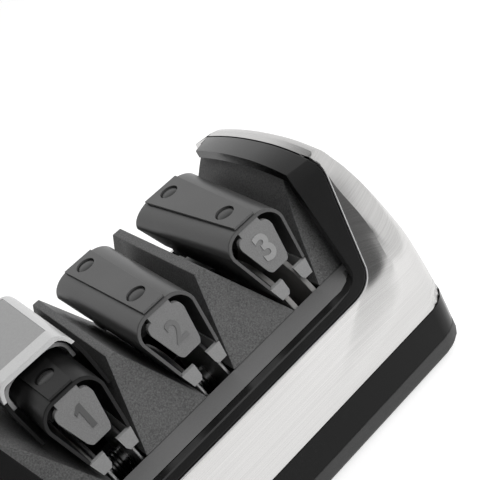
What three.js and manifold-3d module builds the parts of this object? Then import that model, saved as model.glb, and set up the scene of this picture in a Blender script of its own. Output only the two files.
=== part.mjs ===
import * as THREE from "three";
import { mergeVertices } from "three/addons/utils/BufferGeometryUtils.js";
import Module from "manifold-3d";

// Three-stage electric knife sharpener. Millimetres, +Z up, +X to the user's right, +Y to the back.
// The origin is on the table under the middle of the body.

const wasm = await Module();
wasm.setup();

// Body
const bodyDepth = 146;
const cornerRadius = 17;
const shellWall = 2;
const clearance = 0.3;
const overrun = 6;

// Heights above the table
const footHeight = 2;
const trayTop = 13.4;
const bandTop = 33.5;
const trayFloor = 2.5;
const trayRound = 4;

// Sloped front of the bezel, measured from the body's front and from the crest
const crestSetback = 51;
const slopeFootSetback = 9.6;
const slopeFootDrop = 50;
const crestBackInset = 2;

// Bezel outline
const shoulderWidth = 10.2;
const crestWidth = 16.3;
const bezelTaper = 28.3;
const bezelCorner = 15;
const bezelInnerTaper = 11.6;
const bezelInnerFoot = 57.4;
const bezelInnerCorner = 9;
const bezelWall = 2.4;
const bezelDepth = 9;

// Deck and wedge blocks
const deckDrop = 45.7;
const deckWall = 2.5;
const deckSlotHalf = 10;
const deckSlotFront = 0.5;
const deckSlotBack = 40;
const deckBackInset = 3.5;
const blockApexDrop = 10;
const blockApexSetback = 58.5;
const blockFootSetback = 30;
const blockBackInset = 5.5;
const blockRidgeHalves = [2, 2.7];
const blockFootOffset = 8.7;
const endApexInset = 1.5;
const leftRidgeInset = 8.9;
const leftRidgeWidth = 1.6;
const leftShoulderDrop = 13;

// Stages, counted from the left: stage 1 stands a little nearer to stage 2 than stage 3 does
const stagePitch = 59;
const stageOneShift = 3.2;
const stageEndRoom = 32;
const stageNames = ["1", "2", "3"];

// Sprung saddle, clamp strip, frame and rails of a stage
const bridgeFrontSetback = 49.2;
const bridgeLength = 80;
const bridgeLeanShare = 0.45;
const saddleHalf = 16.2;
const saddleSpread = [0.4, 3.2, 6.2];
const saddleWall = 1.8;
const saddleHipDrop = 10.5;
const saddleLegDrop = 30.5;
const saddleLegHalf = 12.4;
const saddleLegSpreadShare = 0.3;
const stripHalf = 6.4;
const stripSpread = [2.6, 2.6, 5];
const stripHeight = 1.5;
const screwHoleRadius = 5;
const screwSeatRadius = 3;
const screwFront = 16;
const screwBack = 68;
const frameBeamHalf = 5.6;
const frameBeamDrop = 13;
const frameBackInset = 1;
const framePostLength = 12;
const plateHalf = 10.3;
const plateFootHalf = 5.6;
const plateNeckHalf = 6.5;
const plateNeckDrop = 6;
const plateShoulderDrop = 10.2;
const plateDrop = 26.4;
const plateWall = 2.2;
const plateSetback = 0.5;
const plateCorner = 2.4;
const railOuterHalf = 12;
const railInnerHalf = 10.4;
const railTabInnerHalf = 4;
const railTopDrop = 31;
const railFootDrop = 37.8;
const railTabWall = 2;
const railTaper = 1.6;

// Lift-off cover of stage 1
const coverFront = 26;
const coverLength = 64;
const coverRise = 6.2;
const coverShoulder = 15;
const coverHalf = 21.4;
const coverTaper = 0.9;
const coverSpread = 0.2;
const coverDrop = 20;
const coverWall = 2;
const coverRake = 20;
const linerWall = 2.1;
const linerHalf = 19;
const linerDrop = 11;
const linerSetback = 2.5;
const panelMargin = 3;
const panelFront = 9;
const panelWall = 0.8;

// Shaft, discs and motor
const shaftSetback = 14.8;
const shaftRadius = 3;
const shaftOverhang = 6;
const deckOverShaft = 18.3;
const discFloorGap = 11;
const hubRadius = 6;
const hubHalf = 10.9;
const hubCollarRadius = 9;
const hubCollarWidth = 2;
const discOffset = 7.4;
const discWall = 1.2;
const stropProud = 3;
const discBossRadius = 10;
const discBossWall = 2.4;
const stropOffset = 6.4;
const stropWall = 3;
const stropRadius = 36;
const discTravel = 1.5;
const springWire = 0.9;
const springTurns = 4;
const motorX = -28.5;
const stackHalf = 9;
const stackFront = 28;
const stackTop = 15;
const motorLift = 10.5;
const rotorRadius = 9.4;
const rotorGap = 0.6;
const rotorProud = 1;
const windowTop = 14;
const windowHalf = 15;
const legHeight = 14;
const coilWall = 7;
const coilHalf = 12;
const bracketWall = 1.6;
const bracketStandoff = 4;
const bracketHalf = 9;
const bearingRadius = 6;
const bearingWidth = 3.6;
const motorScrewRadius = 1.8;
const motorScrewY = 23;
const fanX = 29;
const fanRadius = 15;
const fanHubRadius = 7;
const fanWidth = 9;
const fanBlades = 8;
const fanBladeWall = 1.6;
const pillarLeftInset = 35.5;
const pillarRightInset = 31.5;
const pillarHalf = 4;
const pillarWidth = 22;
const pillarTop = 9;

// Small parts outside
const switchInset = 39.5;
const rimWidth = 24;
const rimHeight = 15;
const rimProud = 1.2;
const rockerWidth = 18;
const rockerHeight = 10;
const rockerProud = 2;
const rockerDepth = 7;
const inletInset = 55.5;
const inletRadius = 7;
const inletBore = 3.6;
const inletDepth = 9;
const inletProud = 1.5;
const leverReach = 29;
const leverDrop = 6.3;
const leverHalf = 3;
const leverWall = 4;
const leverProud = 2;
const leverPadReach = 15;
const leverKnobHalf = 5;
const leverSlotHalf = 15;
const pinRadius = 1.8;
const pinBossRadius = 4.5;
const pinProud = 1;
const doorX = 33;
const doorSetback = 1;
const doorWidth = 88;
const doorDepth = 52;
const doorGap = 0.8;
const footSideInset = 25.5;
const footEndInset = 21;
const footRadius = 8;

// Places worked out from the sizes above
const stageOneX = stageOneShift - stagePitch;
const stageThreeX = stagePitch;
const stageX = [stageOneX, 0, stageThreeX];
const bezelInnerTopHalf = stageThreeX + stageEndRoom;
const bezelTopHalf = bezelInnerTopHalf + crestWidth;
const halfWidth = bezelTopHalf + shoulderWidth;
const bodyWidth = 2 * halfWidth;
const frontY = -bodyDepth / 2;
const backY = bodyDepth / 2;
const crestFrontY = frontY + crestSetback;
const slopeFootY = frontY + slopeFootSetback;
const shaftZ = footHeight + trayFloor + discFloorGap + stropRadius;
const deckZ = shaftZ + deckOverShaft;
const crestHeight = deckZ + deckDrop;
const slopeLength = Math.hypot(crestFrontY - slopeFootY, slopeFootDrop);
const blockTopZ = crestHeight - blockApexDrop;
const blockBackY = backY - blockBackInset;
const bridgeFrontY = frontY + bridgeFrontSetback;
const bridgeBackY = bridgeFrontY + bridgeLength;
const frameBackY = bridgeBackY - frameBackInset;
const bezelFootHalf = bezelTopHalf - bezelTaper;
const bezelInnerFootHalf = bezelInnerTopHalf - bezelInnerTaper;
const shaftY = bridgeFrontY + shaftSetback;
const discRadius = stropRadius - stropProud;
const pillarLeftX = pillarLeftInset - halfWidth;
const pillarRightX = halfWidth - pillarRightInset;
const switchX = switchInset - halfWidth;
const switchZ = (trayTop + bandTop) / 2;
const inletX = inletInset - halfWidth;
const inletZ = switchZ;
const leverZ = deckZ - deckWall - leverDrop;
const leverTipY = backY + leverProud;
const leverPivotY = leverTipY - leverReach;
const leverPadY = leverPivotY - leverPadReach;
const doorY = shaftY - doorSetback;
const footX = halfWidth - footSideInset;
const footY = backY - footEndInset;

// Finishes
const finish = (colour, roughness, metalness = 0) =>
  new THREE.MeshStandardMaterial({ color: colour, roughness, metalness });
const steelBrushed = finish(0xd9d9d6, 0.32, 1);
const steelPlain = finish(0xb9bbbd, 0.35, 1);
const blackSatin = finish(0x1c1c1d, 0.38);
const blackGloss = finish(0x141415, 0.15);
const greySmooth = finish(0x55565a, 0.5);
const greyTexture = finish(0x3c3d3f, 0.75);
const greySaddle = finish(0x48494c, 0.55);
const greyPlate = finish(0x8b8c8e, 0.6);
const silverPlastic = finish(0xa9aaac, 0.4, 0.3);
const stropFinish = finish(0xcfcdc6, 0.8);
const copper = finish(0xb56a3a, 0.4, 1);
const lamination = finish(0x6d6f72, 0.5, 1);
const rubber = finish(0x222222, 0.9);
const bronze = finish(0xa8834a, 0.5, 1);

const sharpener = new THREE.Group();

// Mesh building
function solidOf(geometry) {
  const bare = geometry.clone();
  bare.deleteAttribute("normal");
  bare.deleteAttribute("uv");
  const merged = mergeVertices(bare.index ? bare.toNonIndexed() : bare);
  const vertProperties = new Float32Array(merged.attributes.position.array);
  const triVerts = new Uint32Array(merged.index.array);
  return new wasm.Manifold(new wasm.Mesh({ numProp: 3, vertProperties, triVerts }));
}

function geometryOf(solid) {
  const mesh = solid.getMesh();
  const geometry = new THREE.BufferGeometry();
  geometry.setAttribute("position", new THREE.BufferAttribute(new Float32Array(mesh.vertProperties), 3));
  geometry.setIndex(new THREE.BufferAttribute(new Uint32Array(mesh.triVerts), 1));
  return geometry;
}

function place(name, shape, material) {
  const geometry = shape instanceof THREE.BufferGeometry ? shape : geometryOf(shape);
  const mesh = new THREE.Mesh(geometry, material);
  mesh.name = name;
  sharpener.add(mesh);
  return mesh;
}

const joined = (solids) => solids.reduce((whole, next) => whole.add(next));

const shapeOf = (points) => new THREE.Shape(points.map(([a, b]) => new THREE.Vector2(a, b)));

const extruded = (shape, depth, curveSegments = 5) =>
  new THREE.ExtrudeGeometry(shape, { depth, bevelEnabled: false, curveSegments });

// An outline in x and y, raised from one height to another
function raised(shape, low, high) {
  return solidOf(extruded(shape, high - low).translate(0, 0, low));
}

// An outline in x and z, run from front to back
function runBack(shape, front, back) {
  return solidOf(extruded(shape, back - front).rotateX(Math.PI / 2).translate(0, back, 0));
}

// An outline in y and z, run from left to right
function runAcross(shape, left, right) {
  const turn = new THREE.Matrix4().makeBasis(
    new THREE.Vector3(0, 1, 0), new THREE.Vector3(0, 0, 1), new THREE.Vector3(1, 0, 0));
  return solidOf(extruded(shape, right - left).applyMatrix4(turn).translate(left, 0, 0));
}

function block(x0, x1, y0, y1, z0, z1) {
  const geometry = new THREE.BoxGeometry(x1 - x0, y1 - y0, z1 - z0);
  return solidOf(geometry.translate((x0 + x1) / 2, (y0 + y1) / 2, (z0 + z1) / 2));
}

// A profile of [radius, distance] turned about a line along x, through y and z
function turnedX(profile, x, y, z, sides = 16) {
  const points = profile.map(([radius, along]) => new THREE.Vector2(radius, along));
  const geometry = new THREE.LatheGeometry(points, sides).rotateZ(-Math.PI / 2);
  return solidOf(geometry.translate(x, y, z));
}

// The same about an upright line
function turnedZ(profile, x, y, z, sides = 20) {
  const points = profile.map(([radius, along]) => new THREE.Vector2(radius, along));
  return solidOf(new THREE.LatheGeometry(points, sides).rotateX(Math.PI / 2).translate(x, y, z));
}

const rodX = (radius, x0, x1, y, z, sides = 16) =>
  turnedX([[0, x0], [radius, x0], [radius, x1], [0, x1]], 0, y, z, sides);
const rodZ = (radius, x, y, z0, z1, sides = 16) =>
  turnedZ([[0, z0], [radius, z0], [radius, z1], [0, z1]], x, y, 0, sides);
const tubeX = (bore, radius, x0, x1, y, z, sides = 16) =>
  turnedX([[bore, x0], [radius, x0], [radius, x1], [bore, x1], [bore, x0]], 0, y, z, sides);

function roundedPlan(half, front, back, radius, steps = 5) {
  const points = [];
  const corners = [[half - radius, back - radius, 0], [radius - half, back - radius, 1],
    [radius - half, front + radius, 2], [half - radius, front + radius, 3]];
  for (const [x, y, quarter] of corners) {
    for (let i = 0; i <= steps; i++) {
      const angle = (quarter + i / steps) * Math.PI / 2;
      points.push([x + radius * Math.cos(angle), y + radius * Math.sin(angle)]);
    }
  }
  return points;
}

// A closed solid through rings of equal counts, each an array of [x, y, z]
function lofted(rings) {
  const count = rings[0].length;
  const corners = rings.flat().flat();
  const faces = [];
  for (let r = 0; r + 1 < rings.length; r++) {
    for (let i = 0; i < count; i++) {
      const a = r * count + i;
      const b = r * count + (i + 1) % count;
      faces.push(a, b, b + count, a, b + count, a + count);
    }
  }
  const cap = (ring, start, flip) => {
    const origin = new THREE.Vector3(...ring[0]);
    const normal = new THREE.Vector3();
    ring.forEach((point, i) => {
      const next = new THREE.Vector3(...ring[(i + 1) % count]).sub(origin);
      normal.add(new THREE.Vector3(...point).sub(origin).cross(next));
    });
    normal.normalize();
    const side = Math.abs(normal.x) < 0.9 ? new THREE.Vector3(1, 0, 0) : new THREE.Vector3(0, 1, 0);
    const u = side.cross(normal).normalize();
    const v = normal.clone().cross(u);
    const flat = ring.map((point) => {
      const offset = new THREE.Vector3(...point).sub(origin);
      return new THREE.Vector2(offset.dot(u), offset.dot(v));
    });
    for (const [a, b, c] of THREE.ShapeUtils.triangulateShape(flat, [])) {
      if (flip) faces.push(start + a, start + c, start + b);
      else faces.push(start + a, start + b, start + c);
    }
  };
  cap(rings[0], 0, true);
  cap(rings[rings.length - 1], (rings.length - 1) * count, false);
  const geometry = new THREE.BufferGeometry();
  geometry.setAttribute("position", new THREE.Float32BufferAttribute(corners, 3));
  geometry.setIndex(faces);
  const solid = solidOf(geometry);
  return solid.volume() < 0 ? lofted(rings.slice().reverse()) : solid;
}

// Casing: the skirt's rings, in shares of its height, of the crest's setback and of the half width.
// Each row is height, front, corner radius, side inset, crease half width, dish half width.
const skirtShares = [
  [0, 0.005, 1, 0, 0.3, 0.098],
  [0.1, 0.02, 1, 0, 0.59, 0.274],
  [0.22, 0.05, 0.97, 0.001, 0.747, 0.43],
  [0.32, 0.092, 0.91, 0.0017, 0.795, 0.548],
  [0.39, 0.122, 0.88, 0.0017, 0.807, 0.646],
  [0.46, 0.163, 0.85, 0.0017, 0.818, 0.72],
  [0.6, 0.31, 0.7, 0.0017, 0.842, 0.79],
  [0.75, 0.514, 0.53, 0.0026, 0.87, 0.855],
  [0.82, 0.645, 0.47, 0.0034, 0.897, 0.881],
  [0.88, 0.753, 0.44, 0.005, 0.92, 0.905],
  [0.94, 0.851, 0.41, 0.011, 0.926, 0.916],
  [0.98, 0.931, 0.36, 0.0247, 0.918, 0.911],
  [1, 0.994, 0.22, 0.0596, 0.905, 0.902],
];

// How far the dished middle of the front stands back at a height
function dishY(z) {
  const footZ = crestHeight - slopeFootDrop;
  if (z >= footZ) return slopeFootY + (z - footZ) * (crestFrontY - slopeFootY) / slopeFootDrop;
  return frontY + slopeFootSetback * (z - bandTop) / (footZ - bandTop);
}

function skirtRing(row, inset) {
  const [height, front, radiusShare, sideShare, creaseShare, dishShare] = row;
  const z = bandTop + height * (crestHeight - bandTop);
  const y = frontY + front * crestSetback + inset;
  const half = halfWidth * (1 - sideShare) - inset;
  const radius = cornerRadius * radiusShare;
  const back = backY - halfWidth * sideShare - inset;
  const ring = roundedPlan(half, y, back, radius);
  const middle = Math.max(dishY(z) + inset, y);
  const crease = Math.min(halfWidth * creaseShare, half - radius - clearance);
  const dish = Math.min(halfWidth * dishShare, crease - clearance);
  const front4 = [[-crease, y], [-dish, middle], [dish, middle], [crease, y]];
  const perCorner = ring.length / 4;
  const points = [...ring.slice(0, 3 * perCorner), ...front4, ...ring.slice(3 * perCorner)];
  return points.map(([px, py]) => [px, py, z]);
}

function skirtBody(inset) {
  const rings = skirtShares.map((row) => skirtRing(row, inset));
  if (inset > 0) {
    const low = rings[0].map(([x, y, z]) => [x, y, z - overrun]);
    const dropped = rings.map((ring) => ring.map(([x, y, z]) => [x, y, z - inset]));
    return lofted([low, ...dropped.slice(1)]);
  }
  return lofted(rings);
}

// An outline laid on the bezel's slope: x across, s down the slope, run from out to in
function slopeSolid(shape, out, into) {
  const geometry = extruded(shape, into + out, 6);
  const down = new THREE.Vector3(0, slopeFootY - crestFrontY, -slopeFootDrop).normalize();
  const across = new THREE.Vector3(1, 0, 0);
  const inward = across.clone().cross(down);
  const turn = new THREE.Matrix4().makeBasis(across, down, inward);
  turn.setPosition(-inward.x * out, crestFrontY - inward.y * out, crestHeight - inward.z * out);
  return solidOf(geometry.applyMatrix4(turn));
}

function slopeOutline(topHalf, footHalf, foot, corner, above) {
  const reach = Math.hypot(topHalf - footHalf, foot);
  const sx = (topHalf - footHalf) / reach * corner;
  const sy = foot / reach * corner;
  const shape = new THREE.Shape();
  shape.moveTo(-topHalf, -above);
  shape.lineTo(topHalf, -above);
  shape.lineTo(topHalf, 0);
  shape.lineTo(footHalf + sx, foot - sy);
  shape.quadraticCurveTo(footHalf, foot, footHalf - corner, foot);
  shape.lineTo(corner - footHalf, foot);
  shape.quadraticCurveTo(-footHalf, foot, -footHalf - sx, foot - sy);
  shape.lineTo(-topHalf, 0);
  return shape;
}

const bezelOutline = (grow) => slopeOutline(
  bezelTopHalf + grow, bezelFootHalf + grow, slopeLength + grow, bezelCorner + grow, crestSetback);
const openingOutline = (grow) => slopeOutline(
  bezelInnerTopHalf + grow, bezelInnerFootHalf + grow, bezelInnerFoot + grow, bezelInnerCorner + grow,
  crestSetback);

// Everything over the slope and the crest, sunk by a depth
function overTop(sink) {
  const rise = 3 * crestHeight;
  const footZ = crestHeight - slopeFootDrop - overrun;
  const footY = slopeFootY - overrun * (crestFrontY - slopeFootY) / slopeFootDrop;
  return runAcross(shapeOf([[footY + sink, footZ], [crestFrontY + sink, crestHeight - sink],
    [backY + overrun, crestHeight - sink], [backY + overrun, rise], [frontY - 2 * bodyDepth, rise],
    [frontY - 2 * bodyDepth, footZ]]), -bodyWidth, bodyWidth);
}

// The space inside the bezel's outline, down to a depth below its face
function bezelWell(grow, depth) {
  const slope = slopeSolid(bezelOutline(grow), crestHeight, depth);
  const crest = block(-bezelTopHalf - grow, bezelTopHalf + grow, crestFrontY,
    backY - crestBackInset - 2 * shellWall + grow, crestHeight - depth, crestHeight + overrun);
  return slope.add(crest);
}

function makeSkirt() {
  const rearOpen = block(-bezelInnerTopHalf, bezelInnerTopHalf, crestFrontY, backY + overrun,
    deckZ - clearance, crestHeight + overrun);
  const shell = skirtBody(0).subtract(skirtBody(shellWall))
    .subtract(bezelWell(clearance, bezelDepth + clearance)).subtract(rearOpen);
  const slotHigh = leverHalf + 2 * clearance;
  const leverSlot = block(stageThreeX - leverSlotHalf, stageThreeX + leverSlotHalf, backY - cornerRadius,
    backY + overrun, leverZ - slotHigh, leverZ + slotHigh);
  place("metal_skirt", shell.subtract(leverSlot), steelBrushed);
}

function makeBezel() {
  const outer = bezelWell(0, bezelDepth).subtract(overTop(0));
  const hollow = bezelWell(-bezelWall, bezelDepth + overrun).subtract(overTop(bezelWall));
  const openBack = (half) => block(-half, half, crestFrontY, backY + overrun, 0, crestHeight + overrun);
  const opening = slopeSolid(openingOutline(0), crestHeight, bodyDepth).add(openBack(bezelInnerTopHalf));
  const lining = slopeSolid(openingOutline(bezelWall), crestHeight, bodyDepth)
    .add(openBack(bezelInnerTopHalf + bezelWall));
  const shell = outer.subtract(hollow).add(outer.intersect(lining)).subtract(opening);
  place("bezel", shell, blackSatin);
}

function makeDeck() {
  const half = bezelInnerFootHalf + 5 * bezelWall;
  const front = slopeFootY + bezelWall * 1.5;
  const plan = roundedPlan(half, front, backY - deckBackInset, bezelInnerCorner);
  let deck = raised(shapeOf(plan), deckZ - deckWall, deckZ);
  const slotFrontY = frontY + blockFootSetback + deckSlotFront;
  for (const x of stageX) {
    deck = deck.subtract(block(x - deckSlotHalf, x + deckSlotHalf, slotFrontY, shaftY + deckSlotBack,
      deckZ - deckWall - overrun, deckZ + overrun));
  }
  const inSkirt = deck.intersect(skirtBody(shellWall + clearance))
    .subtract(bezelWell(clearance, bezelDepth + clearance));
  const inOpening = deck.intersect(slopeSolid(openingOutline(-clearance), crestHeight, bodyDepth));
  place("deck_plate", inSkirt.add(inOpening), greySmooth);
}

// Wedge blocks stand on the deck, cut to one sloped face at the front
function blockSolid(outline) {
  const footY = frontY + blockFootSetback;
  const apexY = frontY + blockApexSetback;
  const baseZ = deckZ + clearance;
  const side = shapeOf([[footY, baseZ], [apexY, blockTopZ], [blockBackY, blockTopZ], [blockBackY, baseZ]]);
  return runBack(shapeOf(outline), frontY, backY).intersect(runAcross(side, -bodyWidth, bodyWidth));
}

function makeBlocks() {
  const z0 = deckZ;
  const zt = blockTopZ;
  for (let i = 0; i < 2; i++) {
    const left = stageX[i];
    const right = stageX[i + 1];
    const ridge = (left + right) / 2;
    const outline = [[left + blockFootOffset, z0], [right - blockFootOffset, z0],
      [ridge + blockRidgeHalves[i], zt], [ridge - blockRidgeHalves[i], zt]];
    place(`wedge_block_${i + 1}_${i + 2}`, blockSolid(outline), greyTexture);
  }
  const endX = bezelInnerTopHalf - clearance;
  const right = [[stageThreeX + blockFootOffset, z0], [endX, z0], [endX, zt], [endX - endApexInset, zt]];
  const cut = slopeSolid(openingOutline(-clearance), crestHeight, bodyDepth);
  place("wedge_block_right", blockSolid(right).intersect(cut), greyTexture);
  const apex = leftRidgeInset - endX;
  const left = [[stageOneX - blockFootOffset, z0], [apex, zt], [apex - leftRidgeWidth, zt],
    [-endX, zt - leftShoulderDrop], [-endX, z0]];
  place("wedge_block_left", blockSolid(left).intersect(cut), greyTexture);
}

// A stage's parts lean: their front faces follow one plane
const leanY = (drop) => bridgeFrontY - drop * bridgeLeanShare;
function inFront(back) {
  const low = crestHeight - 2 * saddleLegDrop;
  const lowY = leanY(2 * saddleLegDrop) + back;
  return runAcross(shapeOf([[bridgeFrontY + back, crestHeight], [lowY, low], [lowY - bodyDepth, low],
    [lowY - bodyDepth, crestHeight + overrun], [bridgeFrontY + back, crestHeight + overrun]]),
    -bodyWidth, bodyWidth);
}

// Half the outline of the saddle, from the crown down to the leg's end
function archHalf(half, crown, hipDrop, legHalf, legDrop, inset) {
  const points = [[0, crown - inset]];
  const steps = 6;
  const flatHalf = stripHalf;
  for (let i = 0; i <= steps; i++) {
    const angle = Math.PI / 2 * (1 - i / steps);
    points.push([flatHalf + (half - inset - flatHalf) * Math.cos(angle),
      hipDrop + (crown - inset - hipDrop) * Math.sin(angle)]);
  }
  points.push([legHalf - inset, legDrop]);
  return points;
}

function archRing(x, y, half, crownZ, hipZ, legHalf, legZ, wall) {
  const outer = archHalf(half, crownZ, hipZ, legHalf, legZ, 0);
  const inner = archHalf(half, crownZ, hipZ, legHalf, legZ, wall);
  const mirrored = (points) => points.slice(1).map(([px, pz]) => [-px, pz]);
  const loop = [...mirrored(outer).reverse(), ...outer, ...inner.slice().reverse(), ...mirrored(inner)];
  return loop.map(([px, pz]) => [x + px, y, pz]);
}

function archSolid(x, front, back, half, spread, crownZ, hipZ, legHalf, legZ, wall) {
  const near = archRing(x, front, half, crownZ, hipZ, legHalf, legZ, wall);
  const farLegHalf = legHalf + saddleLegSpreadShare * spread;
  const far = archRing(x, back, half + spread, crownZ, hipZ, farLegHalf, legZ, wall);
  return lofted([near, far]);
}

function screwSpots(x) {
  return [screwFront, screwBack].map((y) => [x, bridgeFrontY + y]);
}

function makeStage(index) {
  const name = stageNames[index];
  const x = stageX[index];
  const crown = crestHeight - stripHeight;
  const back = frameBackY;
  const frontMost = leanY(saddleLegDrop) - overrun;
  const stripUnder = crown + clearance;

  let saddle = archSolid(x, frontMost, back, saddleHalf, saddleSpread[index], crown,
    crestHeight - saddleHipDrop, saddleLegHalf, crestHeight - saddleLegDrop, saddleWall).subtract(inFront(0));
  for (const [sx, sy] of screwSpots(x)) {
    saddle = saddle.subtract(rodZ(screwSeatRadius, sx, sy, crown - overrun, crown + overrun));
  }
  place(`saddle_${name}`, saddle, greySaddle);

  const stripPlan = [[x - stripHalf, bridgeFrontY], [x + stripHalf, bridgeFrontY],
    [x + stripHalf + stripSpread[index], bridgeBackY], [x - stripHalf - stripSpread[index], bridgeBackY]];
  let strip = raised(shapeOf(stripPlan), stripUnder, crestHeight);
  for (const [sx, sy] of screwSpots(x)) {
    strip = strip.subtract(rodZ(screwHoleRadius, sx, sy, crown, crestHeight + overrun));
  }
  place(`clamp_strip_${name}`, strip, greySaddle);

  place(`stage_frame_${name}`, frameSolid(x), greyPlate);
  for (const side of [-1, 1]) {
    place(`blade_rail_${name}_${side < 0 ? "left" : "right"}`, railSolid(x, side), greyPlate);
  }
}

// The numbered tongue plate, the beam behind it under the saddle, and the post at the back
function frameSolid(x) {
  const under = crestHeight - stripHeight - saddleWall - clearance;
  const shoulderZ = crestHeight - plateShoulderDrop;
  const neckZ = crestHeight - plateNeckDrop;
  const footZ = crestHeight - plateDrop;
  const plate = new THREE.Shape();
  plate.moveTo(x - plateNeckHalf, under);
  plate.lineTo(x - plateNeckHalf, neckZ);
  plate.quadraticCurveTo(x - plateHalf, neckZ, x - plateHalf, shoulderZ);
  plate.lineTo(x - plateFootHalf - plateCorner / 2, footZ + plateCorner);
  plate.quadraticCurveTo(x - plateFootHalf, footZ, x - plateFootHalf + plateCorner / 2, footZ);
  plate.lineTo(x + plateFootHalf - plateCorner / 2, footZ);
  plate.quadraticCurveTo(x + plateFootHalf, footZ, x + plateFootHalf + plateCorner / 2, footZ + plateCorner);
  plate.lineTo(x + plateHalf, shoulderZ);
  plate.quadraticCurveTo(x + plateHalf, neckZ, x + plateNeckHalf, neckZ);
  plate.lineTo(x + plateNeckHalf, under);
  const tongue = runBack(plate, leanY(plateDrop) - overrun, bridgeFrontY + overrun)
    .subtract(inFront(plateSetback))
    .intersect(inFront(plateSetback + plateWall));
  const beam = block(x - frameBeamHalf, x + frameBeamHalf, leanY(frameBeamDrop), frameBackY,
    crestHeight - frameBeamDrop, under).subtract(inFront(plateSetback + plateWall / 2));
  const post = block(x - frameBeamHalf, x + frameBeamHalf, bridgeBackY - framePostLength, frameBackY,
    deckZ + clearance, under);
  let frame = tongue.add(beam).add(post);
  for (const [sx, sy] of screwSpots(x)) {
    frame = frame.subtract(rodZ(screwSeatRadius, sx, sy, under - frameBeamDrop / 2, under + overrun));
  }
  return frame;
}

// A rail under a saddle leg, with the front tab and a foot on the post
function railSolid(x, side) {
  const top = crestHeight - railTopDrop;
  const foot = crestHeight - railFootDrop;
  const back = frameBackY;
  const bar = lofted([[back, 1], [leanY(railFootDrop) - overrun, 0]].map(([y, far]) => {
    const spread = far * saddleSpread[0];
    return [[x + side * (railOuterHalf + spread), y, top], [x + side * (railInnerHalf + spread), y, top],
      [x + side * (railInnerHalf + spread - railTaper), y, foot],
      [x + side * (railOuterHalf + spread - railTaper), y, foot]];
  }));
  const tab = runBack(shapeOf([[x + side * railOuterHalf, top], [x + side * railTabInnerHalf, top],
    [x + side * (railTabInnerHalf + railTaper / 4), foot + railTaper],
    [x + side * (railTabInnerHalf + railTaper), foot],
    [x + side * (railOuterHalf - railTaper), foot]]), leanY(railFootDrop) - overrun, bridgeFrontY)
    .intersect(inFront(railTabWall));
  const stay = block(Math.min(x + side * (frameBeamHalf + clearance), x + side * railOuterHalf),
    Math.max(x + side * (frameBeamHalf + clearance), x + side * railOuterHalf),
    bridgeBackY - framePostLength, frameBackY, foot, top - railTaper);
  return bar.add(tab).subtract(inFront(0)).add(stay);
}

// The lift-off cover: shell, liner and plain panel
function makeCover() {
  const x = stageOneX;
  const front = bridgeFrontY + coverFront;
  const back = front + coverLength;
  const top = crestHeight + coverRise;
  const low = crestHeight - coverDrop;
  const rake = runAcross(shapeOf([[front, top], [front - coverRake, low], [front - bodyDepth, low - overrun],
    [front - bodyDepth, top + coverRise], [front, top + coverRise]]), -bodyWidth, bodyWidth);
  const ring = (y, spread) => {
    const half = coverHalf + spread;
    const outer = [[coverShoulder, top], [half - coverWall, top - coverWall], [half, top - 2 * coverRise],
      [half - coverTaper, low]];
    const inner = [[half - coverTaper - coverWall, low], [half - coverWall, top - 2 * coverRise],
      [half - 1.8 * coverWall, top - 2.2 * coverWall], [coverShoulder - coverWall / 2, top - coverWall]];
    const right = [...outer, ...inner];
    const left = right.slice().reverse().map(([px, pz]) => [-px, pz]);
    return [...left, ...right].map(([px, pz]) => [x + px, y, pz]);
  };
  const loops = [ring(back, coverSpread), ring(front - coverRake, 0)];
  const panelHalf = coverShoulder - panelMargin;
  const panel = block(x - panelHalf, x + panelHalf, front + panelFront, back - panelMargin,
    top - panelWall, top + overrun);
  place("stage_cover", lofted(loops).subtract(rake).subtract(panel), silverPlastic);
  const liner = archSolid(x, front + linerSetback, back - clearance, linerHalf, 0,
    top - coverWall - clearance, crestHeight - linerDrop / 2, linerHalf, crestHeight - linerDrop, linerWall);
  place("cover_liner", liner, silverPlastic);
}

// Tray, band, door and feet
function makeBase() {
  const wall = (inset, z0, z1) => raised(shapeOf(
    roundedPlan(halfWidth - inset, frontY + inset, backY - inset, cornerRadius - inset)), z0, z1);
  const level = (inset, z) => roundedPlan(halfWidth - inset, frontY + inset, backY - inset, cornerRadius)
    .map(([px, py]) => [px, py, z]);
  const outer = lofted([level(trayRound, footHeight), level(trayRound / 3, footHeight + trayRound / 3),
    level(0, footHeight + trayRound), level(0, trayTop)]);
  const doorHole = block(doorX - doorWidth / 2, doorX + doorWidth / 2, doorY - doorDepth / 2,
    doorY + doorDepth / 2, 0, trayTop);
  const inside = wall(2 * shellWall, footHeight + trayFloor, trayTop + overrun);
  place("base_tray", outer.subtract(inside).subtract(doorHole), greyTexture);

  const low = trayTop + clearance;
  const high = bandTop - clearance;
  const rim = block(switchX - rimWidth / 2 + rimProud, switchX + rimWidth / 2 - rimProud, frontY - overrun,
    frontY + cornerRadius, switchZ - rimHeight / 2 + rimProud, switchZ + rimHeight / 2 - rimProud);
  const inletHole = solidOf(new THREE.CylinderGeometry(inletRadius - inletProud, inletRadius - inletProud,
    2 * cornerRadius, 24).translate(inletX, backY, inletZ));
  const band = wall(0, low, high).subtract(wall(shellWall, low - overrun, high + overrun))
    .subtract(rim).subtract(inletHole);
  place("lower_band", band, blackGloss);

  const gap = doorGap / 2;
  const door = block(doorX - doorWidth / 2 + gap, doorX + doorWidth / 2 - gap, doorY - doorDepth / 2 + gap,
    doorY + doorDepth / 2 - gap, footHeight, footHeight + trayFloor);
  place("clean_out_door", door, greyTexture);

  for (const [name, sx, sy] of [["front_left", -1, -1], ["front_right", 1, -1], ["rear_left", -1, 1],
    ["rear_right", 1, 1]]) {
    place(`foot_${name}`, rodZ(footRadius, sx * footX, sy * footY, 0, footHeight - clearance, 20), rubber);
  }
}

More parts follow.
